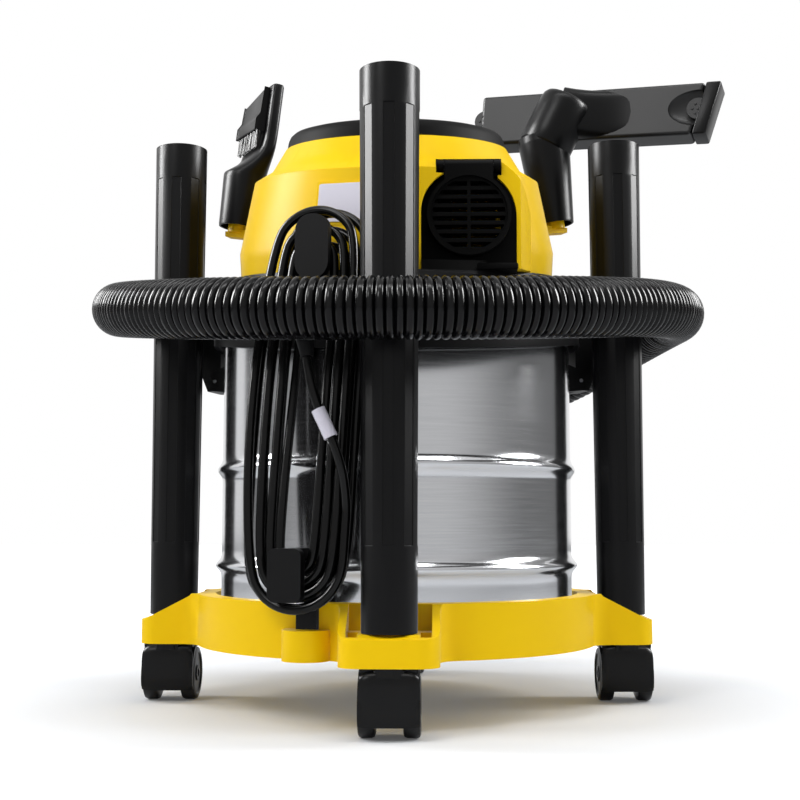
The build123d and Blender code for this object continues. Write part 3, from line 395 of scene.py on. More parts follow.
# The steel shows neutral greys down to its foot, so the dolly is kept out of reflections.
dolly.visible_glossy = False

# Drum: rolled from bright stainless sheet, with two raised beads against denting and a curled rim.
# Four screws hold its floor to the dolly.
drum_radius = 133
drum_wall = 1.0
drum_floor_z = 50
drum_top_z = 274.5
drum_sides = 192
foot_rounding = 12
foot_steps = 8
bead_width = 4.4
beads = {104: 4.4, 175: 3.6}
bead_step = 1.25
bead_least = 0.002
wall_step = 5
wall_end = 6
rim_roll = 2.2
rim_out = 1
rim_lap = 4
rim_from = -0.65 * pi
rim_sweep = 1.45 * pi
rim_steps = 9


def bulge(z):
    """How far the beads stand out of the drum's wall at this height."""
    return sum(depth * exp(-((z - height) / bead_width) ** 2) for height, depth in beads.items())


outer = [(0, drum_floor_z)]
for step in range(foot_steps + 1):
    turn = pi / 2 * step / foot_steps
    outer.append((drum_radius - foot_rounding * (1 - sin(turn)),
                  drum_floor_z + foot_rounding * (1 - cos(turn))))
z = drum_floor_z + foot_rounding
while z < drum_top_z - wall_end:
    near_bead = bulge(z) > bead_least or bulge(z + wall_step) > bead_least
    z += bead_step if near_bead else wall_step
    outer.append((drum_radius + bulge(z), z))
for step in range(rim_steps + 1):
    turn = rim_from + rim_sweep * step / rim_steps
    outer.append((drum_radius + rim_out + rim_roll * cos(turn), drum_top_z + rim_roll * sin(turn)))
inner = [(drum_radius - drum_wall, drum_top_z - rim_lap),
         (drum_radius - drum_wall, drum_floor_z + foot_rounding),
         (drum_radius - foot_rounding, drum_floor_z + drum_wall), (0, drum_floor_z + drum_wall)]
drum = spun("drum_spun", outer + inner, drum_sides)
tidy_mesh(drum, 50)

# Bright-annealed stainless steel: it mirrors the studio, slightly wavy, with faint rolling lines.
line_mm = 40
line_stretch = 40
wave_mm = 70
steel = bpy.data.materials.new("bright stainless steel")
steel.use_nodes = True
tree = steel.node_tree
shader = tree.nodes["Principled BSDF"]
shader.inputs["Metallic"].default_value = 1.0
where = add(tree, "ShaderNodeTexCoord")
rolling = add(tree, "ShaderNodeMapping", [(where, "Object", "Vector")])
rolling.inputs["Scale"].default_value = (1, 1, line_stretch)
lines = add(tree, "ShaderNodeTexNoise", [(rolling, "Vector", "Vector")],
            Scale=1 / (line_mm * MM), Detail=4.0)
sheen = add(tree, "ShaderNodeMapRange", [(lines, "Fac", "Value")], To_Min=0.1, To_Max=0.2)
tree.links.new(sheen.outputs[0], shader.inputs["Roughness"])
tint = add(tree, "ShaderNodeMix", [(lines, "Fac", 0)], data_type="RGBA")
tint.inputs[6].default_value = linear("#C2C3C6")
tint.inputs[7].default_value = linear("#D0D1D3")
tree.links.new(tint.outputs[2], shader.inputs["Base Color"])
wave = add(tree, "ShaderNodeTexNoise", [(where, "Object", "Vector")],
           Scale=1 / (wave_mm * MM), Detail=1.0)
dent = add(tree, "ShaderNodeBump", [(wave, "Fac", "Height")], Strength=0.25, Distance=1.0 * MM)
tree.links.new(dent.outputs[0], shader.inputs["Normal"])
drum.data.materials.append(steel)
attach(drum, "machine")
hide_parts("drum")


def dress(node, material):
    """Give a solid whose shape is right its finish."""
    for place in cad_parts[node].material_slots:
        place.material = material


# Zinc-plated steel: a dull silver with a faint cloudy bloom.
bloom_mm = 4
zinc = bpy.data.materials.new("zinc-plated steel")
zinc.use_nodes = True
tree = zinc.node_tree
shader = tree.nodes["Principled BSDF"]
shader.inputs["Metallic"].default_value = 1.0
where = add(tree, "ShaderNodeTexCoord")
bloom = add(tree, "ShaderNodeTexNoise", [(where, "Object", "Vector")],
            Scale=1 / (bloom_mm * MM), Detail=3.0)
tint = add(tree, "ShaderNodeMix", [(bloom, "Fac", 0)], data_type="RGBA")
tint.inputs[6].default_value = linear("#A9ABAE")
tint.inputs[7].default_value = linear("#C4C5C7")
tree.links.new(tint.outputs[2], shader.inputs["Base Color"])
dull = add(tree, "ShaderNodeMapRange", [(bloom, "Fac", "Value")], To_Min=0.25, To_Max=0.45)
tree.links.new(dull.outputs[0], shader.inputs["Roughness"])
dress("drum_screws", zinc)

# Suction inlet: a black elbow moulded in ABS with a saddle flange, screwed to the front of the
# drum with zinc-plated screws.
# Satin black ABS: a fine grain that keeps the highlights soft.
black_abs = moulded("black ABS", "#060607", "#09090A", 0.4, 0.9, 0.14, 1.23)
soften("inlet_port", "machine", black_abs)
dress("inlet_screws", zinc)

# Head collar: the black ring, moulded in ABS, that carries the motor deck. It sits on the drum's
# rim over a rubber seal.
soften("head_collar", "machine", black_abs, 1.0)
# Black rubber: matt, with a slightly dusty bloom.
rubber = moulded("black rubber", "#141415", "#1A1A1B", 0.62, 0.8, 0.25)
dress("head_seal", rubber)

# Inner works: a pleated filter with its cap, a float ball in its cage, the motor with its fan and
# bearings, and the switch. They are fixed in the head, out of sight.
# Folded cellulose: a warm white with soft fibre.
filter_paper = moulded("filter paper", "#DCD6C4", "#D2CBB6", 0.85, 0.5, 0.4)
# Natural polypropylene: milky and smooth.
float_pp = moulded("natural polypropylene", "#D5D5CF", "#CFCFC9", 0.4, 1.0, 0.06)
# Phosphated steel: dark grey, half dull.
motor_steel = moulded("phosphated steel", "#4A4B4E", "#56575A", 0.45, 0.6, 0.2)
for node, finish in (
    ("filter_cartridge", filter_paper), ("filter_cap", black_abs), ("float_cage", black_abs),
    ("float_ball", float_pp), ("fan_casing", black_abs), ("fan_wheel", black_abs),
    ("motor_can", motor_steel), ("motor_stator", motor_steel), ("motor_rotor", motor_steel),
    ("bearing_lower", zinc), ("bearing_upper", zinc), ("power_switch", black_abs),
):
    dress(node, finish)

# Motor hood: the yellow ABS shell over the motor, leaning with the head. It is moulded with a
# shoulder, two holders for the tools and an arched port for the exhaust.
soften("head_cover", "machine", yellow_abs, 1.6, 3)

# Blank plate: a strip of pale polyester film, cut flat and stuck on the rear of the hood. There is
# nothing on it.
# Polyester film: smooth, cool white, a little glossy.
pale_film = moulded("pale polyester film", "#D6D3DF", "#CFCCD9", 0.28, 1.5, 0.03)
soften("rating_plate", "machine", pale_film, 0.2)

# Top cap and carrying handle: a shallow black lid with a raised rim, moulded in ABS and clipped
# into the hood, with a bail handle on two steel pins.
# Matt black ABS: spark-eroded coarse, so it drinks the light.
matt_abs = moulded("matt black ABS", "#040404", "#060606", 0.58, 0.8, 0.2, 1.15)
soften("top_dome", "machine", matt_abs, 1.2)
head_lean = radians(8)
seam_z = 326
head_tilt = Matrix.Translation((0, 0, seam_z * MM)) @ Matrix.Rotation(head_lean, 4, "X")
rim_outline = ((84, 97.9), (84.8, 98.4), (83.6, 104.5), (82.2, 107.6), (79.6, 109.9),
               (75, 111.2), (66, 111), (70, 109.6), (80, 103.6))
rim_sides = 128
rim = spun("top_dome_rim", rim_outline, rim_sides)
rim.data.transform(head_tilt)
tidy_mesh(rim, 40)
rim.data.materials.append(matt_abs)
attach(rim, "machine")
soften("carry_handle", "handle", black_abs, 1.0)
dress("handle_pins", zinc)

# Exhaust: a black ABS port let into the hood, closed by a round louvred flap on a black pin. A
# curved sill and a foot finish the hood's lower edge under the port.
soften("exhaust_housing", "machine", matt_abs, 0.8)
soften("exhaust_flap", "flap", matt_abs, 0.6)
dress("flap_pin", black_abs)
sill_from = -80.5
sill_to = -44
sill_steps = 14
sill_section = ((119.5, -0.4), (123.6, -0.4), (123.6, 6.6), (119.5, 6.6))
foot_middle = (65.2, -99, 313.6)
foot_size = (45, 18, 4.6)


def skin(count, sides):
    """Faces between each of this many rings of points and the next."""
    faces = []
    for r in range(count - 1):
        for s in range(sides):
            n = (s + 1) % sides
            faces.append((r * sides + s, r * sides + n, (r + 1) * sides + n, (r + 1) * sides + s))
    return faces


points = []
for step in range(sill_steps + 1):
    turn = radians(sill_from + (sill_to - sill_from) * step / sill_steps)
    points += [head_tilt @ Vector((r * cos(turn) * MM, r * sin(turn) * MM, h * MM))
               for r, h in sill_section]
faces = [(0, 1, 2, 3), tuple(4 * sill_steps + k for k in (3, 2, 1, 0))]
sill = built("exhaust_sill", points, faces + skin(sill_steps + 1, 4))
tidy_mesh(sill, 30)
sill.data.materials.append(matt_abs)
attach(sill, "machine")

bpy.ops.object.select_all(action="DESELECT")
bpy.ops.mesh.primitive_cube_add(size=1, location=[c * MM for c in foot_middle])
foot = bpy.context.object
foot.name = "exhaust_foot"
foot.scale = [c * MM for c in foot_size]
bpy.ops.object.transform_apply(location=True, rotation=True, scale=True)
rounded(foot, 0.8, 2)
tidy_mesh(foot, 35)
foot.data.materials.append(matt_abs)
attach(foot, "machine")

# Switch knob: a black knob moulded in ABS, pushed on the spindle of the switch at the front of the
# hood.
soften("switch_knob", "knob", black_abs, 0.9)

# Side latches: black clips moulded in ABS that hook over the collar. Each turns on a zinc-plated
# pin between two bracket ears on the drum.
for side in ("left", "right"):
    soften("latch_" + side, "latch_" + side, black_abs, 0.9)
soften("latch_brackets", "machine", black_abs, 0.6)
dress("latch_pins", zinc)

# Extension tubes: three black tapered tubes, moulded in polypropylene with shallow flutes. They
# are parked upright on the dolly's pegs.
# Black polypropylene: smooth and half glossy, so each flute edge catches a bright line.
black_pp = moulded("black polypropylene", "#050506", "#080809", 0.32, 1.2, 0.05, 1.25)
for side in ("rear", "right", "left"):
    soften("extension_tube_" + side, "tube_" + side, black_pp, 0.14, 1, 24, 30)

# Floor nozzle: a wide moulded head on an elbow and a conical neck, parked on the hood's right
# holder. A scooped end with a round clip locks the rubber lips along its slot, and a separate cap
# closes that end.
soften("floor_nozzle_neck", "floor_tool", black_pp, 0.7)
wing_middle = Vector((168, 70, 476))
wing_across = Vector((0.94, -0.342, -0.06)).normalized()
wing_face = Vector((-0.342, -0.94, 0.08)).normalized()
wing_up = wing_face.cross(wing_across).normalized()
wing_half = 22
wing_front = 13
wing_left = -99
wing_right = 104
wing_edge = 3
end_slant = 10
cap_width = 12
cap_gap = 0.6
cap_proud = 0.3
cap_edge = 1.4
cap_draft = 1
body_right = wing_right - cap_width - cap_gap
cap_left = wing_right - cap_width
scoop_place = (body_right - 3, 0, wing_front + 1.5)
scoop_size = (27, 16, 7.5)
slot_size = (92, 7.5, wing_front)
slot_lift = 2
wing_place = Matrix((wing_across, wing_up, wing_face)).transposed().to_4x4()
wing_place.translation = wing_middle * MM


def plate(name, outline, low, high, rounding):
    """Plate with this outline across the nozzle, between two depths, with rounded edges."""
    count = len(outline)
    points = [Vector((x, y, z)) * MM for z in (low, high) for x, y in outline]
    faces = [tuple(range(count - 1, -1, -1)), tuple(range(count, 2 * count))]
    piece = built(name, points, faces + skin(2, count))
    rounded(piece, rounding, 3)
    return piece


wing_outline = ((wing_left, -wing_half), (body_right - end_slant, -wing_half),
                (body_right, wing_half), (wing_left, wing_half))
wing = plate("floor_nozzle_wing", wing_outline, -wing_front, wing_front, wing_edge)
bpy.ops.object.select_all(action="DESELECT")
bpy.ops.mesh.primitive_uv_sphere_add(segments=64, ring_count=32, radius=1,
                                     location=[c * MM for c in scoop_place])
scoop = bpy.context.object
scoop.scale = [c * MM for c in scoop_size]
bpy.ops.object.select_all(action="DESELECT")
bpy.ops.mesh.primitive_cube_add(size=2, location=(0, slot_lift * MM, -wing_front * MM))
slot_cutter = bpy.context.object
slot_cutter.scale = [c * MM for c in slot_size]
for cutter in (scoop, slot_cutter):
    cut = wing.modifiers.new("cut", "BOOLEAN")
    cut.operation = "DIFFERENCE"
    cut.object = cutter
    pick(wing)
    bpy.ops.object.modifier_apply(modifier="cut")
    bpy.data.objects.remove(cutter)
wing.data.transform(wing_place)
tidy_mesh(wing, 30)
even_out(wing)
cap_outline = ((cap_left - end_slant, -wing_half),
               (wing_right - end_slant - cap_draft, -wing_half),
               (wing_right, wing_half), (cap_left, wing_half))
cap = plate("floor_nozzle_cap", cap_outline, -wing_front, wing_front + cap_proud, cap_edge)
cap.data.transform(wing_place)
tidy_mesh(cap, 35)


def lofted(name, rings):
    """Skin over rings of points, closed by a flat face at both ends."""
    sides = len(rings[0])
    points = [p for ring in rings for p in ring]
    faces = [tuple(range(sides - 1, -1, -1)), tuple(range(len(points) - sides, len(points)))]
    return built(name, points, faces + skin(len(rings), sides))


def round_rings(rings, sides=48):
    """Circles of points, each given by its centre, facing and radius in millimetres."""
    made = []
    for centre, facing, radius in rings:
        along = Vector(facing).normalized()
        side = Vector((0, 1, 0)).cross(along).normalized()
        depth = along.cross(side)
        turns = [2 * pi * k / sides for k in range(sides)]
        made.append([(Vector(centre) + (side * cos(a) + depth * sin(a)) * radius) * MM
                     for a in turns])
    return made


def squared(value, power):
    """Sine or cosine drawn out by a power with its sign kept, which squares a circle off."""
    return abs(value) ** power * (1 if value > 0 else -1)


# The neck's upper end, the elbow from its slanting seam to its flat top as (distance, radius), and
# the swell that joins the elbow to the head
neck_foot = Vector((131, 66, 384))
neck_lean = Vector((-0.12, 0, 1)).normalized()
neck_height = 70
neck_end = neck_foot + neck_lean * neck_height
neck_radius = 21.4
stub_radius = 21.2
stub_height = 5
elbow_lean = Vector((0.45, -0.05, 0.9)).normalized()
elbow_seam = (0.43, 0, 0.9)
elbow_foot = neck_end + Vector((0.4, 0, -3.5))
elbow_sizes = ((0, 21.2), (0.3, 21.8), (1.2, 22.2), (14, 22.4), (30, 22.4), (39, 22.2),
               (43, 21.4), (45.6, 19.6), (46.8, 16))
seam_end = 10
swell_from = -22
swell_to = 44
swell_high = 21.4
swell_proud = 20
swell_sunk = 0.2
swell_behind = 0.6
swell_square = 0.42
swell_steps = 9
swell_sides = 48
stub = lofted("neck_stub", round_rings(
    [(neck_end - neck_lean, neck_lean, neck_radius),
     (neck_end + neck_lean * stub_height, neck_lean, stub_radius)]))
elbow = lofted("floor_nozzle_elbow", round_rings(
    [(elbow_foot + elbow_lean * d, elbow_seam if d < seam_end else elbow_lean, r)
     for d, r in elbow_sizes]))
swell_rings = []
for step in range(swell_steps + 1):
    share = step / swell_steps
    x = swell_from + (swell_to - swell_from) * share
    proud = wing_front + swell_proud * (1 - share) ** 3 - swell_sunk * share
    ring = []
    for k in range(swell_sides):
        a = 2 * pi * k / swell_sides
        reach = proud if cos(a) > 0 else swell_behind * wing_front
        corner = Vector((x, swell_high * squared(sin(a), swell_square),
                         reach * squared(cos(a), swell_square)))
        ring.append(wing_place @ (corner * MM))
    swell_rings.append(ring)
swell = lofted("nozzle_swell", swell_rings)
bpy.ops.object.select_all(action="DESELECT")
for piece in (stub, swell, elbow):
    piece.select_set(True)
bpy.context.view_layer.objects.active = elbow
bpy.ops.object.join()
tidy_mesh(elbow, 50)
# Satin black polypropylene: a broad soft sheen across the flat of the head.
satin_pp = moulded("satin black polypropylene", "#09090A", "#0C0C0D", 0.42, 0.9, 0.1, 1.42)
for piece, finish in ((wing, satin_pp), (cap, black_pp), (elbow, black_pp)):
    piece.data.materials.append(finish)
    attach(piece, "floor_tool")
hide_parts("floor_nozzle")

# Two round clips, each with a dot in its middle and six round it
clip_places = (86, wing_left + 3)
clip_radius = 9
clip_low = 6.5
clip_high = 12
dot_radius = 1.1
dot_depth = 1.2
dot_lift = 0.3
dot_reaches = (4.6,) * 6 + (0,)
clips = []
for clip_x in clip_places:
    bpy.ops.object.select_all(action="DESELECT")
    bpy.ops.mesh.primitive_cylinder_add(
        vertices=48, radius=clip_radius * MM, depth=(clip_high - clip_low) * MM,
        location=(clip_x * MM, 0, (clip_low + clip_high) / 2 * MM))
    clips.append(bpy.context.object)
    for spot, reach in enumerate(dot_reaches):
        turn = pi / 3 * spot
        bpy.ops.mesh.primitive_cylinder_add(
            vertices=16, radius=dot_radius * MM, depth=dot_depth * MM,
            location=((clip_x + reach * cos(turn)) * MM, reach * sin(turn) * MM,
                      (clip_high + dot_lift) * MM))
        clips.append(bpy.context.object)
for part in clips:
    part.select_set(True)
bpy.context.view_layer.objects.active = clips[0]
bpy.ops.object.join()
clip_pair = bpy.context.object
clip_pair.name = "floor_nozzle_clip_pair"
bpy.ops.object.transform_apply(location=True, rotation=True, scale=True)
clip_pair.data.transform(wing_place)
tidy_mesh(clip_pair, 35)
clip_pair.data.materials.append(wheel_nylon)
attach(clip_pair, "floor_tool")
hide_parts("floor_nozzle_clips")
soften("floor_nozzle_lips", "floor_tool", rubber, 0.6)

# Brush nozzle: a polypropylene socket whose scooped neck flattens into a wide mouth, parked on the
# hood's left holder. A panel with rows of bristle tufts slides on the mouth's outer side.
brush_axis = Vector((0.12, 0, 1)).normalized()
brush_across = Vector((-0.47, 0.88, 0.057)).normalized()
brush_out = brush_axis.cross(brush_across).normalized()
brush_foot = Vector((-125.5, 56.8, 377))
brush_sides = 64
mouth_half = 30
mouth_slant = 10
slant_above = 90


def brush_point(across, out, up):
    """Point in the brush head's frame, in metres."""
    return (brush_foot + brush_across * across + brush_out * out + brush_axis * up) * MM


def slant(across):
    """How far the mouth's edge drops at this place across it."""
    return mouth_slant * (across + mouth_half) / (2 * mouth_half)


# Sections of the skin from the socket's closed inside, round its foot and up to the mouth and into
# it again: height, near and far edge across, inner and outer edge, and how square its corners are
brush_rings = []
for up, near, far, inside, outside, square in (
    (34, -20, 3.6, 0.5, 24, 2), (0, -22.2, 5.9, -1.8, 26.3, 2), (0, -23.7, 7.4, -3.3, 27.9, 2),
    (1.5, -24, 7.7, -3.6, 28.2, 2), (20, -24.6, 8.4, -4.2, 28.8, 2), (40, -25.4, 9.4, -5, 29.5, 2),
    (43.5, -25.6, 10.4, -5.2, 29.4, 2), (45, -25.8, 11.2, -5.3, 28.4, 2.05),
    (48, -26.4, 13.2, -5.5, 24.6, 2.2), (52, -27.3, 16.4, -5.8, 19.6, 2.4),
    (57, -28.4, 20.6, -6.1, 14.6, 2.7), (62, -29.3, 24.8, -6.4, 10.8, 3),
    (68, -30, 28.2, -6.5, 8, 3.4), (75, -30, 29.6, -6.5, 6.7, 3.8), (84, -30, 30, -6.5, 6.5, 4),
    (119.5, -30, 30, -6.5, 6.5, 4), (121, -29.4, 29.4, -5.9, 5.9, 4), (121, -27, 27, -4, 4, 4),
    (100, -26, 26, -3, 3, 4),
):
    ring = []
    for k in range(brush_sides):
        a = 2 * pi * k / brush_sides
        x = (near + far) / 2 + (far - near) / 2 * squared(cos(a), 2 / square)
        y = (inside + outside) / 2 + (outside - inside) / 2 * squared(sin(a), 2 / square)
        ring.append(brush_point(x, y, up - (slant(x) if up > slant_above else 0)))
    brush_rings.append(ring)
brush_body = lofted("brush_nozzle_body", brush_rings)
tidy_mesh(brush_body, 40)
brush_body.data.materials.append(black_pp)
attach(brush_body, "brush_tool")
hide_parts("brush_nozzle")

strip_half = 23
strip_bottom = 81.5
strip_top = 118.5
strip_back = 6.2
strip_front = 13.5
strip_outline = ((strip_back, strip_bottom), (strip_front, strip_bottom), (strip_front, 90),
                 (10.4, 95.5), (9.6, strip_top), (strip_back, strip_top))
corners = []
for across in (-strip_half, strip_half):
    corners += [brush_point(across, out, up - (slant(across) if up == strip_top else 0))
                for out, up in strip_outline]
count = len(strip_outline)
faces = [tuple(range(count)), tuple(range(2 * count - 1, count - 1, -1))]
panel = built("brush_panel", corners, faces + skin(2, count))
rounded(panel, 0.9, 3)
tidy_mesh(panel, 35)
panel.data.materials.append(black_pp)
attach(panel, "brush_tool")

tuft_count = 7
tuft_radius = 2.3
tuft_depth = 10.1
tuft_flatness = 0.8
tuft_margin = 2.2
bristles_each = 40
bristle_radius = 0.26
bristle_length = 15
bristle_unevenness = 1.2
bristle_lean = (0.5, 0.4)
bristle_sides = 5
tip_size = 0.7
bristle_faces = skin(2, bristle_sides)
bristle_faces += [tuple(range(bristle_sides - 1, -1, -1)),
                  tuple(range(bristle_sides, 2 * bristle_sides))]
tuft_pitch = 2 * (strip_half - tuft_margin) / (tuft_count - 1)
random.seed(7)
points = []
faces = []
for tuft in range(tuft_count):
    middle = (tuft - (tuft_count - 1) / 2) * tuft_pitch
    for bristle in range(bristles_each):
        spread = tuft_radius * random.random() ** 0.5
        turn = 2 * pi * random.random()
        lean_x, lean_y = [random.uniform(-most, most) for most in bristle_lean]
        tip = strip_bottom - bristle_length + random.uniform(0, bristle_unevenness)
        first = len(points)
        for up, radius, lean in ((strip_bottom + 1, bristle_radius, 0),
                                 (tip, bristle_radius * tip_size, 1)):
            for k in range(bristle_sides):
                a = 2 * pi * k / bristle_sides
                x = middle + spread * cos(turn) + lean * lean_x + radius * cos(a)
                y = tuft_depth + tuft_flatness * spread * sin(turn) + lean * lean_y
                points.append(brush_point(x, y + radius * sin(a), up))
        faces += [tuple(first + corner for corner in face) for face in bristle_faces]
tufts = built("brush_tufts", points, faces)
tidy_mesh(tufts, 60)
# Black nylon bristle: each hair has a long thin glint.
bristle_nylon = moulded("black nylon bristle", "#101010", "#1C1C1C", 0.32, 2.0, 0.02)
tufts.data.materials.append(bristle_nylon)
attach(tufts, "brush_tool")
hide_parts("brush_strip")

# Cord hooks and gland: a tongue on the collar above and a down-turned hook in the dolly below,
# moulded in ABS, with the strain relief that the power cord leaves by.
soften("cord_hook_upper", "machine", black_abs, 1.4, 3)
soften("cord_hook_lower", "machine", black_abs, 1.6, 3)
soften("cord_gland", "machine", black_abs, 0.6)

# Power cord: round PVC flex wound loosely on the two hooks in two layers, its tail rising to the
# plug behind the hose, with a blank sleeve on the tail.
cord_radius = 3.1
cord_pitch = 6.8
hank_turns = 4
hank_half = 33
hank_angle = -108.8
hank_radius = 148
hank_top_z = 305
hank_bottom_angle = -111.2
hank_bottom_radius = 164
hank_bottom_z = 117
gland_z = 262


def outward(angle, radius, z):
    """Point at this angle, radius and height."""
    return Vector((radius * cos(radians(angle)), radius * sin(radians(angle)), z))


hank_top = outward(hank_angle, hank_radius, hank_top_z)
hank_bottom = outward(hank_bottom_angle, hank_bottom_radius, hank_bottom_z)
hank_up = (hank_top - hank_bottom).normalized()
hank_side = Vector((-sin(radians(hank_angle)), cos(radians(hank_angle)), 0))
hank_out = hank_side.cross(hank_up).normalized()
hank_across = hank_up.cross(hank_out)
hank_run = (hank_top - hank_bottom).length
gland_height = (gland_z - hank_bottom_z) / (hank_top_z - hank_bottom_z) * hank_run


def hank(x, y, depth):
    """Point in the hank's own frame: across, up its axis, and out from the drum."""
    return hank_bottom + hank_across * x + hank_up * y + hank_out * depth


def half_turn(middle, height, radius, depth, start):
    """Five pull points of a half turn, from the side where it starts."""
    reach = radius / cos(pi / 10)
    turns = [start + pi / 10 + k * pi / 5 for k in range(5)]
    return [hank(middle + reach * cos(a), height + reach * sin(a), depth) for a in turns]


def straight(x, depth, shares):
    """Pull points of a run along the hank, at these shares of its height."""
    return [hank(x, share * hank_run, depth) for share in shares]


def follow(name, points):
    """Curve of one open smooth spline through the pull of these points, given in millimetres."""
    curve = bpy.data.curves.new(name, "CURVE")
    curve.dimensions = "3D"
    curve.resolution_u = 16
    spline = curve.splines.new("NURBS")
    spline.points.add(len(points) - 1)
    for target, p in zip(spline.points, points):
        target.co = (p[0] * MM, p[1] * MM, p[2] * MM, 1)
    spline.order_u = 3
    spline.use_endpoint_u = True
    piece = bpy.data.objects.new(name, curve)
    bpy.context.scene.collection.objects.link(piece)
    return piece


back = -cord_pitch / 2
front = cord_pitch / 2
upwards = (0.3, 0.7)
downwards = (0.7, 0.3)
cross_from = 0.72
cross_to = 0.28
inner_half = hank_half - (hank_turns - 1) * cord_pitch
start_half = hank_half + cord_pitch
# How far each loose turn bows out to the left at mid-run, and how far it hangs below its neighbours
back_bow = (0, 6.5, 3.0)
front_bow = (1.0, 3.5, 8.0)
front_sag = (0, 1.5, 3.0, 5.0)
# How far each loop stands up above the tongue
back_rise = (10.5, 5.0, 1.0)
front_rise = (2.0, 6.0, 11.0)
# The tail's way from the last turn to the plug: across, up and out
tail = ((hank_half, 12, front), (hank_half, 32, front), (31, 60, 15), (10, 100, 22), (6, 124, 23))
route = [hank(-start_half, gland_height, back), hank(-start_half - 2, gland_height - 30, back)]
left = start_half
for turn in range(hank_turns - 1):
    half = hank_half - turn * cord_pitch
    arc = half - cord_pitch / 2
    if turn > 0:
        route += straight(-left - back_bow[turn], back, downwards)
    route += half_turn((half - left) / 2, 0, (half + left) / 2, back, pi)
    route += straight(half, back, upwards)
    route += half_turn(half - arc, hank_run + back_rise[turn], arc, back, 0)
    left = half - cord_pitch
route += [hank(-inner_half, cross_from * hank_run, back),
          hank(-inner_half, cross_to * hank_run, front)]
for turn in range(hank_turns):
    half = inner_half + turn * cord_pitch
    arc = half + cord_pitch / 2
    route += half_turn(0, -front_sag[turn], half, front, pi)
    if turn < hank_turns - 1:
        route += straight(half, front, upwards)
        route += half_turn(half - arc, hank_run + front_rise[turn], arc, front, 0)
        route += straight(half - 2 * arc - front_bow[turn], front, downwards)
route += [hank(*place) for place in tail]
cord = follow("power_cord", route)
cord.data.bevel_depth = cord_radius * MM
cord.data.bevel_resolution = 3
cord.data.use_fill_caps = True
cord.data.resolution_u = 6
# PVC sheath: deep black with a narrow oily highlight along each strand.
cord_pvc = moulded("black PVC sheath", "#040404", "#070707", 0.22, 1.2, 0.05, 1.29)
cord.data.materials.append(cord_pvc)
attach(cord, "machine")
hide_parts("power_cord_hank", "power_cord_tail")
dress("plug", black_abs)
dress("cord_sleeve", pale_film)

# Suction hose: blown polyethylene with ring ribs, from the inlet cuff at the front, once round the
# tubes, to the hand tube that lies in a cradle on the collar. It leans a little, lower at the rear.
hose_radius = 20
hose_valley = 17.2
hose_bore = 16.4
hose_sides = 40
hose_ring = 215
hose_tuck = 0.982
hose_ring_z = 302
hose_tilt = 0.168
inlet_y = 158
inlet_z = 240
hose_start_x = 17
hose_straight = 40
bend_heights = (247, 296)
ring_pulls = 6
rib_pitch = 5.7
# Height of one rib along its pitch, from valley to valley
rib_rise = {0.0: 0.0, 0.08: 0.4, 0.18: 0.72, 0.32: 0.94,
            0.5: 1.0, 0.68: 0.94, 0.82: 0.72, 0.92: 0.4}
# Bends are drawn by pull points an eighth of a turn apart, outside the bend
pull = 1 / cos(pi / 8)
bend_x = hose_ring - inlet_y
route = [(hose_start_x, inlet_y, inlet_z),
         (hose_start_x + 0.6 * hose_straight, inlet_y, inlet_z)]
for step, height in enumerate(bend_heights):
    turn = pi / 8 + step * pi / 4
    route.append((bend_x + pull * inlet_y * sin(turn), pull * inlet_y * cos(turn), height))
for step in range(ring_pulls):
    turn = pi / 8 + step * pi / 4
    y = -pull * hose_ring * sin(turn) * cos(hose_tilt)
    route.append((hose_tuck * pull * hose_ring * cos(turn), y, hose_ring_z + hose_tilt * y))
end_y = hose_ring * cos(hose_tilt)
end_z = hose_ring_z + hose_tilt * end_y
route += [(0.3 * hose_straight, end_y, end_z), (hose_straight, end_y, end_z)]
hose_line = follow("hose_line", route)
line_mesh = bpy.data.meshes.new_from_object(hose_line)
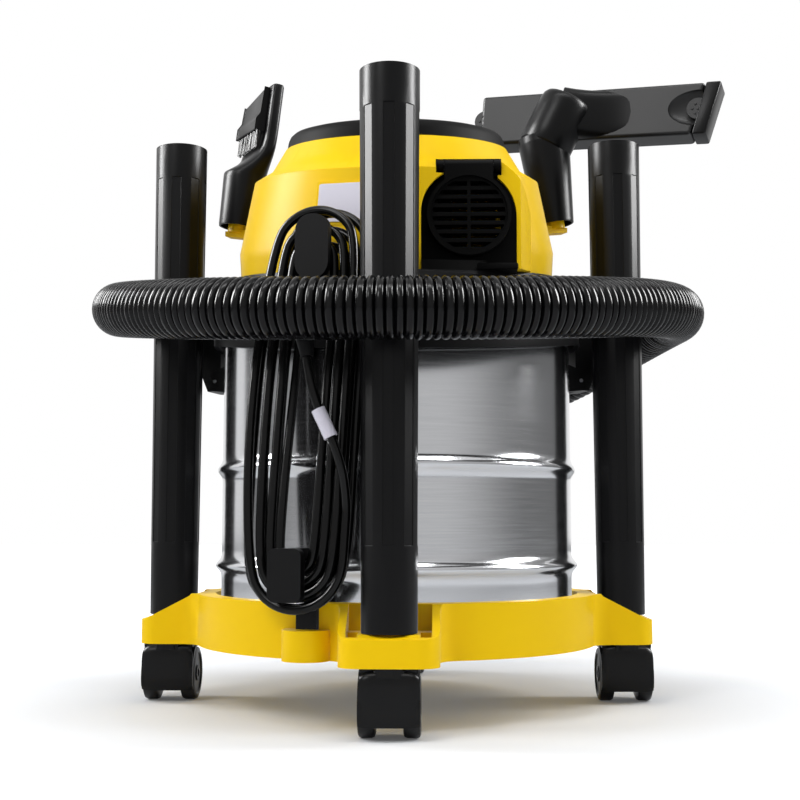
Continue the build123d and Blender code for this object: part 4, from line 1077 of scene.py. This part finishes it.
hose_path = [v.co.copy() for v in line_mesh.vertices]
bpy.data.objects.remove(hose_line)


def stations(path, distances):
    """Point and direction on a path at each of these distances along it."""
    found = []
    done = 0.0
    k = 0
    for d in distances:
        while k < len(path) - 2 and done + (path[k + 1] - path[k]).length < d:
            done += (path[k + 1] - path[k]).length
            k += 1
        run = path[k + 1] - path[k]
        share = min(max((d - done) / run.length, 0), 1)
        before = path[max(k - 1, 0)]
        after = path[min(k + 2, len(path) - 1)]
        found.append((path[k] + run * share, (after - before).normalized()))
    return found


def tube_mesh(name, rings, sides):
    """Closed tube wall through rings of (centre, direction, radius)."""
    points = []
    for centre, along, radius in rings:
        side = along.cross(Vector((0, 0, 1))).normalized()
        up = side.cross(along)
        for s in range(sides):
            a = 2 * pi * s / sides
            points.append(centre + (side * cos(a) + up * sin(a)) * radius)
    return built(name, points, skin(len(rings), sides))


hose_length = sum((b - a).length for a, b in zip(hose_path, hose_path[1:]))
rib_count = round(hose_length / MM / rib_pitch)
rib_step = hose_length / rib_count
marks = []
for rib in range(rib_count):
    for share, rise in rib_rise.items():
        marks.append(((rib + share) * rib_step,
                      hose_valley + (hose_radius - hose_valley) * rise))
marks.append((hose_length, hose_valley))
spots = stations(hose_path, [d for d, r in marks])
rings = [(p, t, r * MM) for (p, t), (d, r) in zip(spots, marks)]
lining_marks = [rib * rib_step for rib in range(rib_count + 1)]
lining = [(p, t, hose_bore * MM) for p, t in stations(hose_path, lining_marks)]
hose = tube_mesh("hose", rings + lining[::-1] + rings[:1], hose_sides)
tidy_mesh(hose, 50)
# Blown polyethylene: black and glossy, so each rib carries one thin sharp highlight.
hose_pe = moulded("black blown polyethylene", "#040405", "#060607", 0.2, 1.4, 0.04, 1.28)
hose.data.materials.append(hose_pe)
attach(hose, "machine")
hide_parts("suction_hose")
dress("hose_cuff", black_pp)
dress("hand_tube", black_pp)
soften("hose_cradle", "machine", black_abs, 0.9)

size = {"cad": [list(corner) for corner in cad_box],
        "visual": [list(corner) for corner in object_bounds()]}
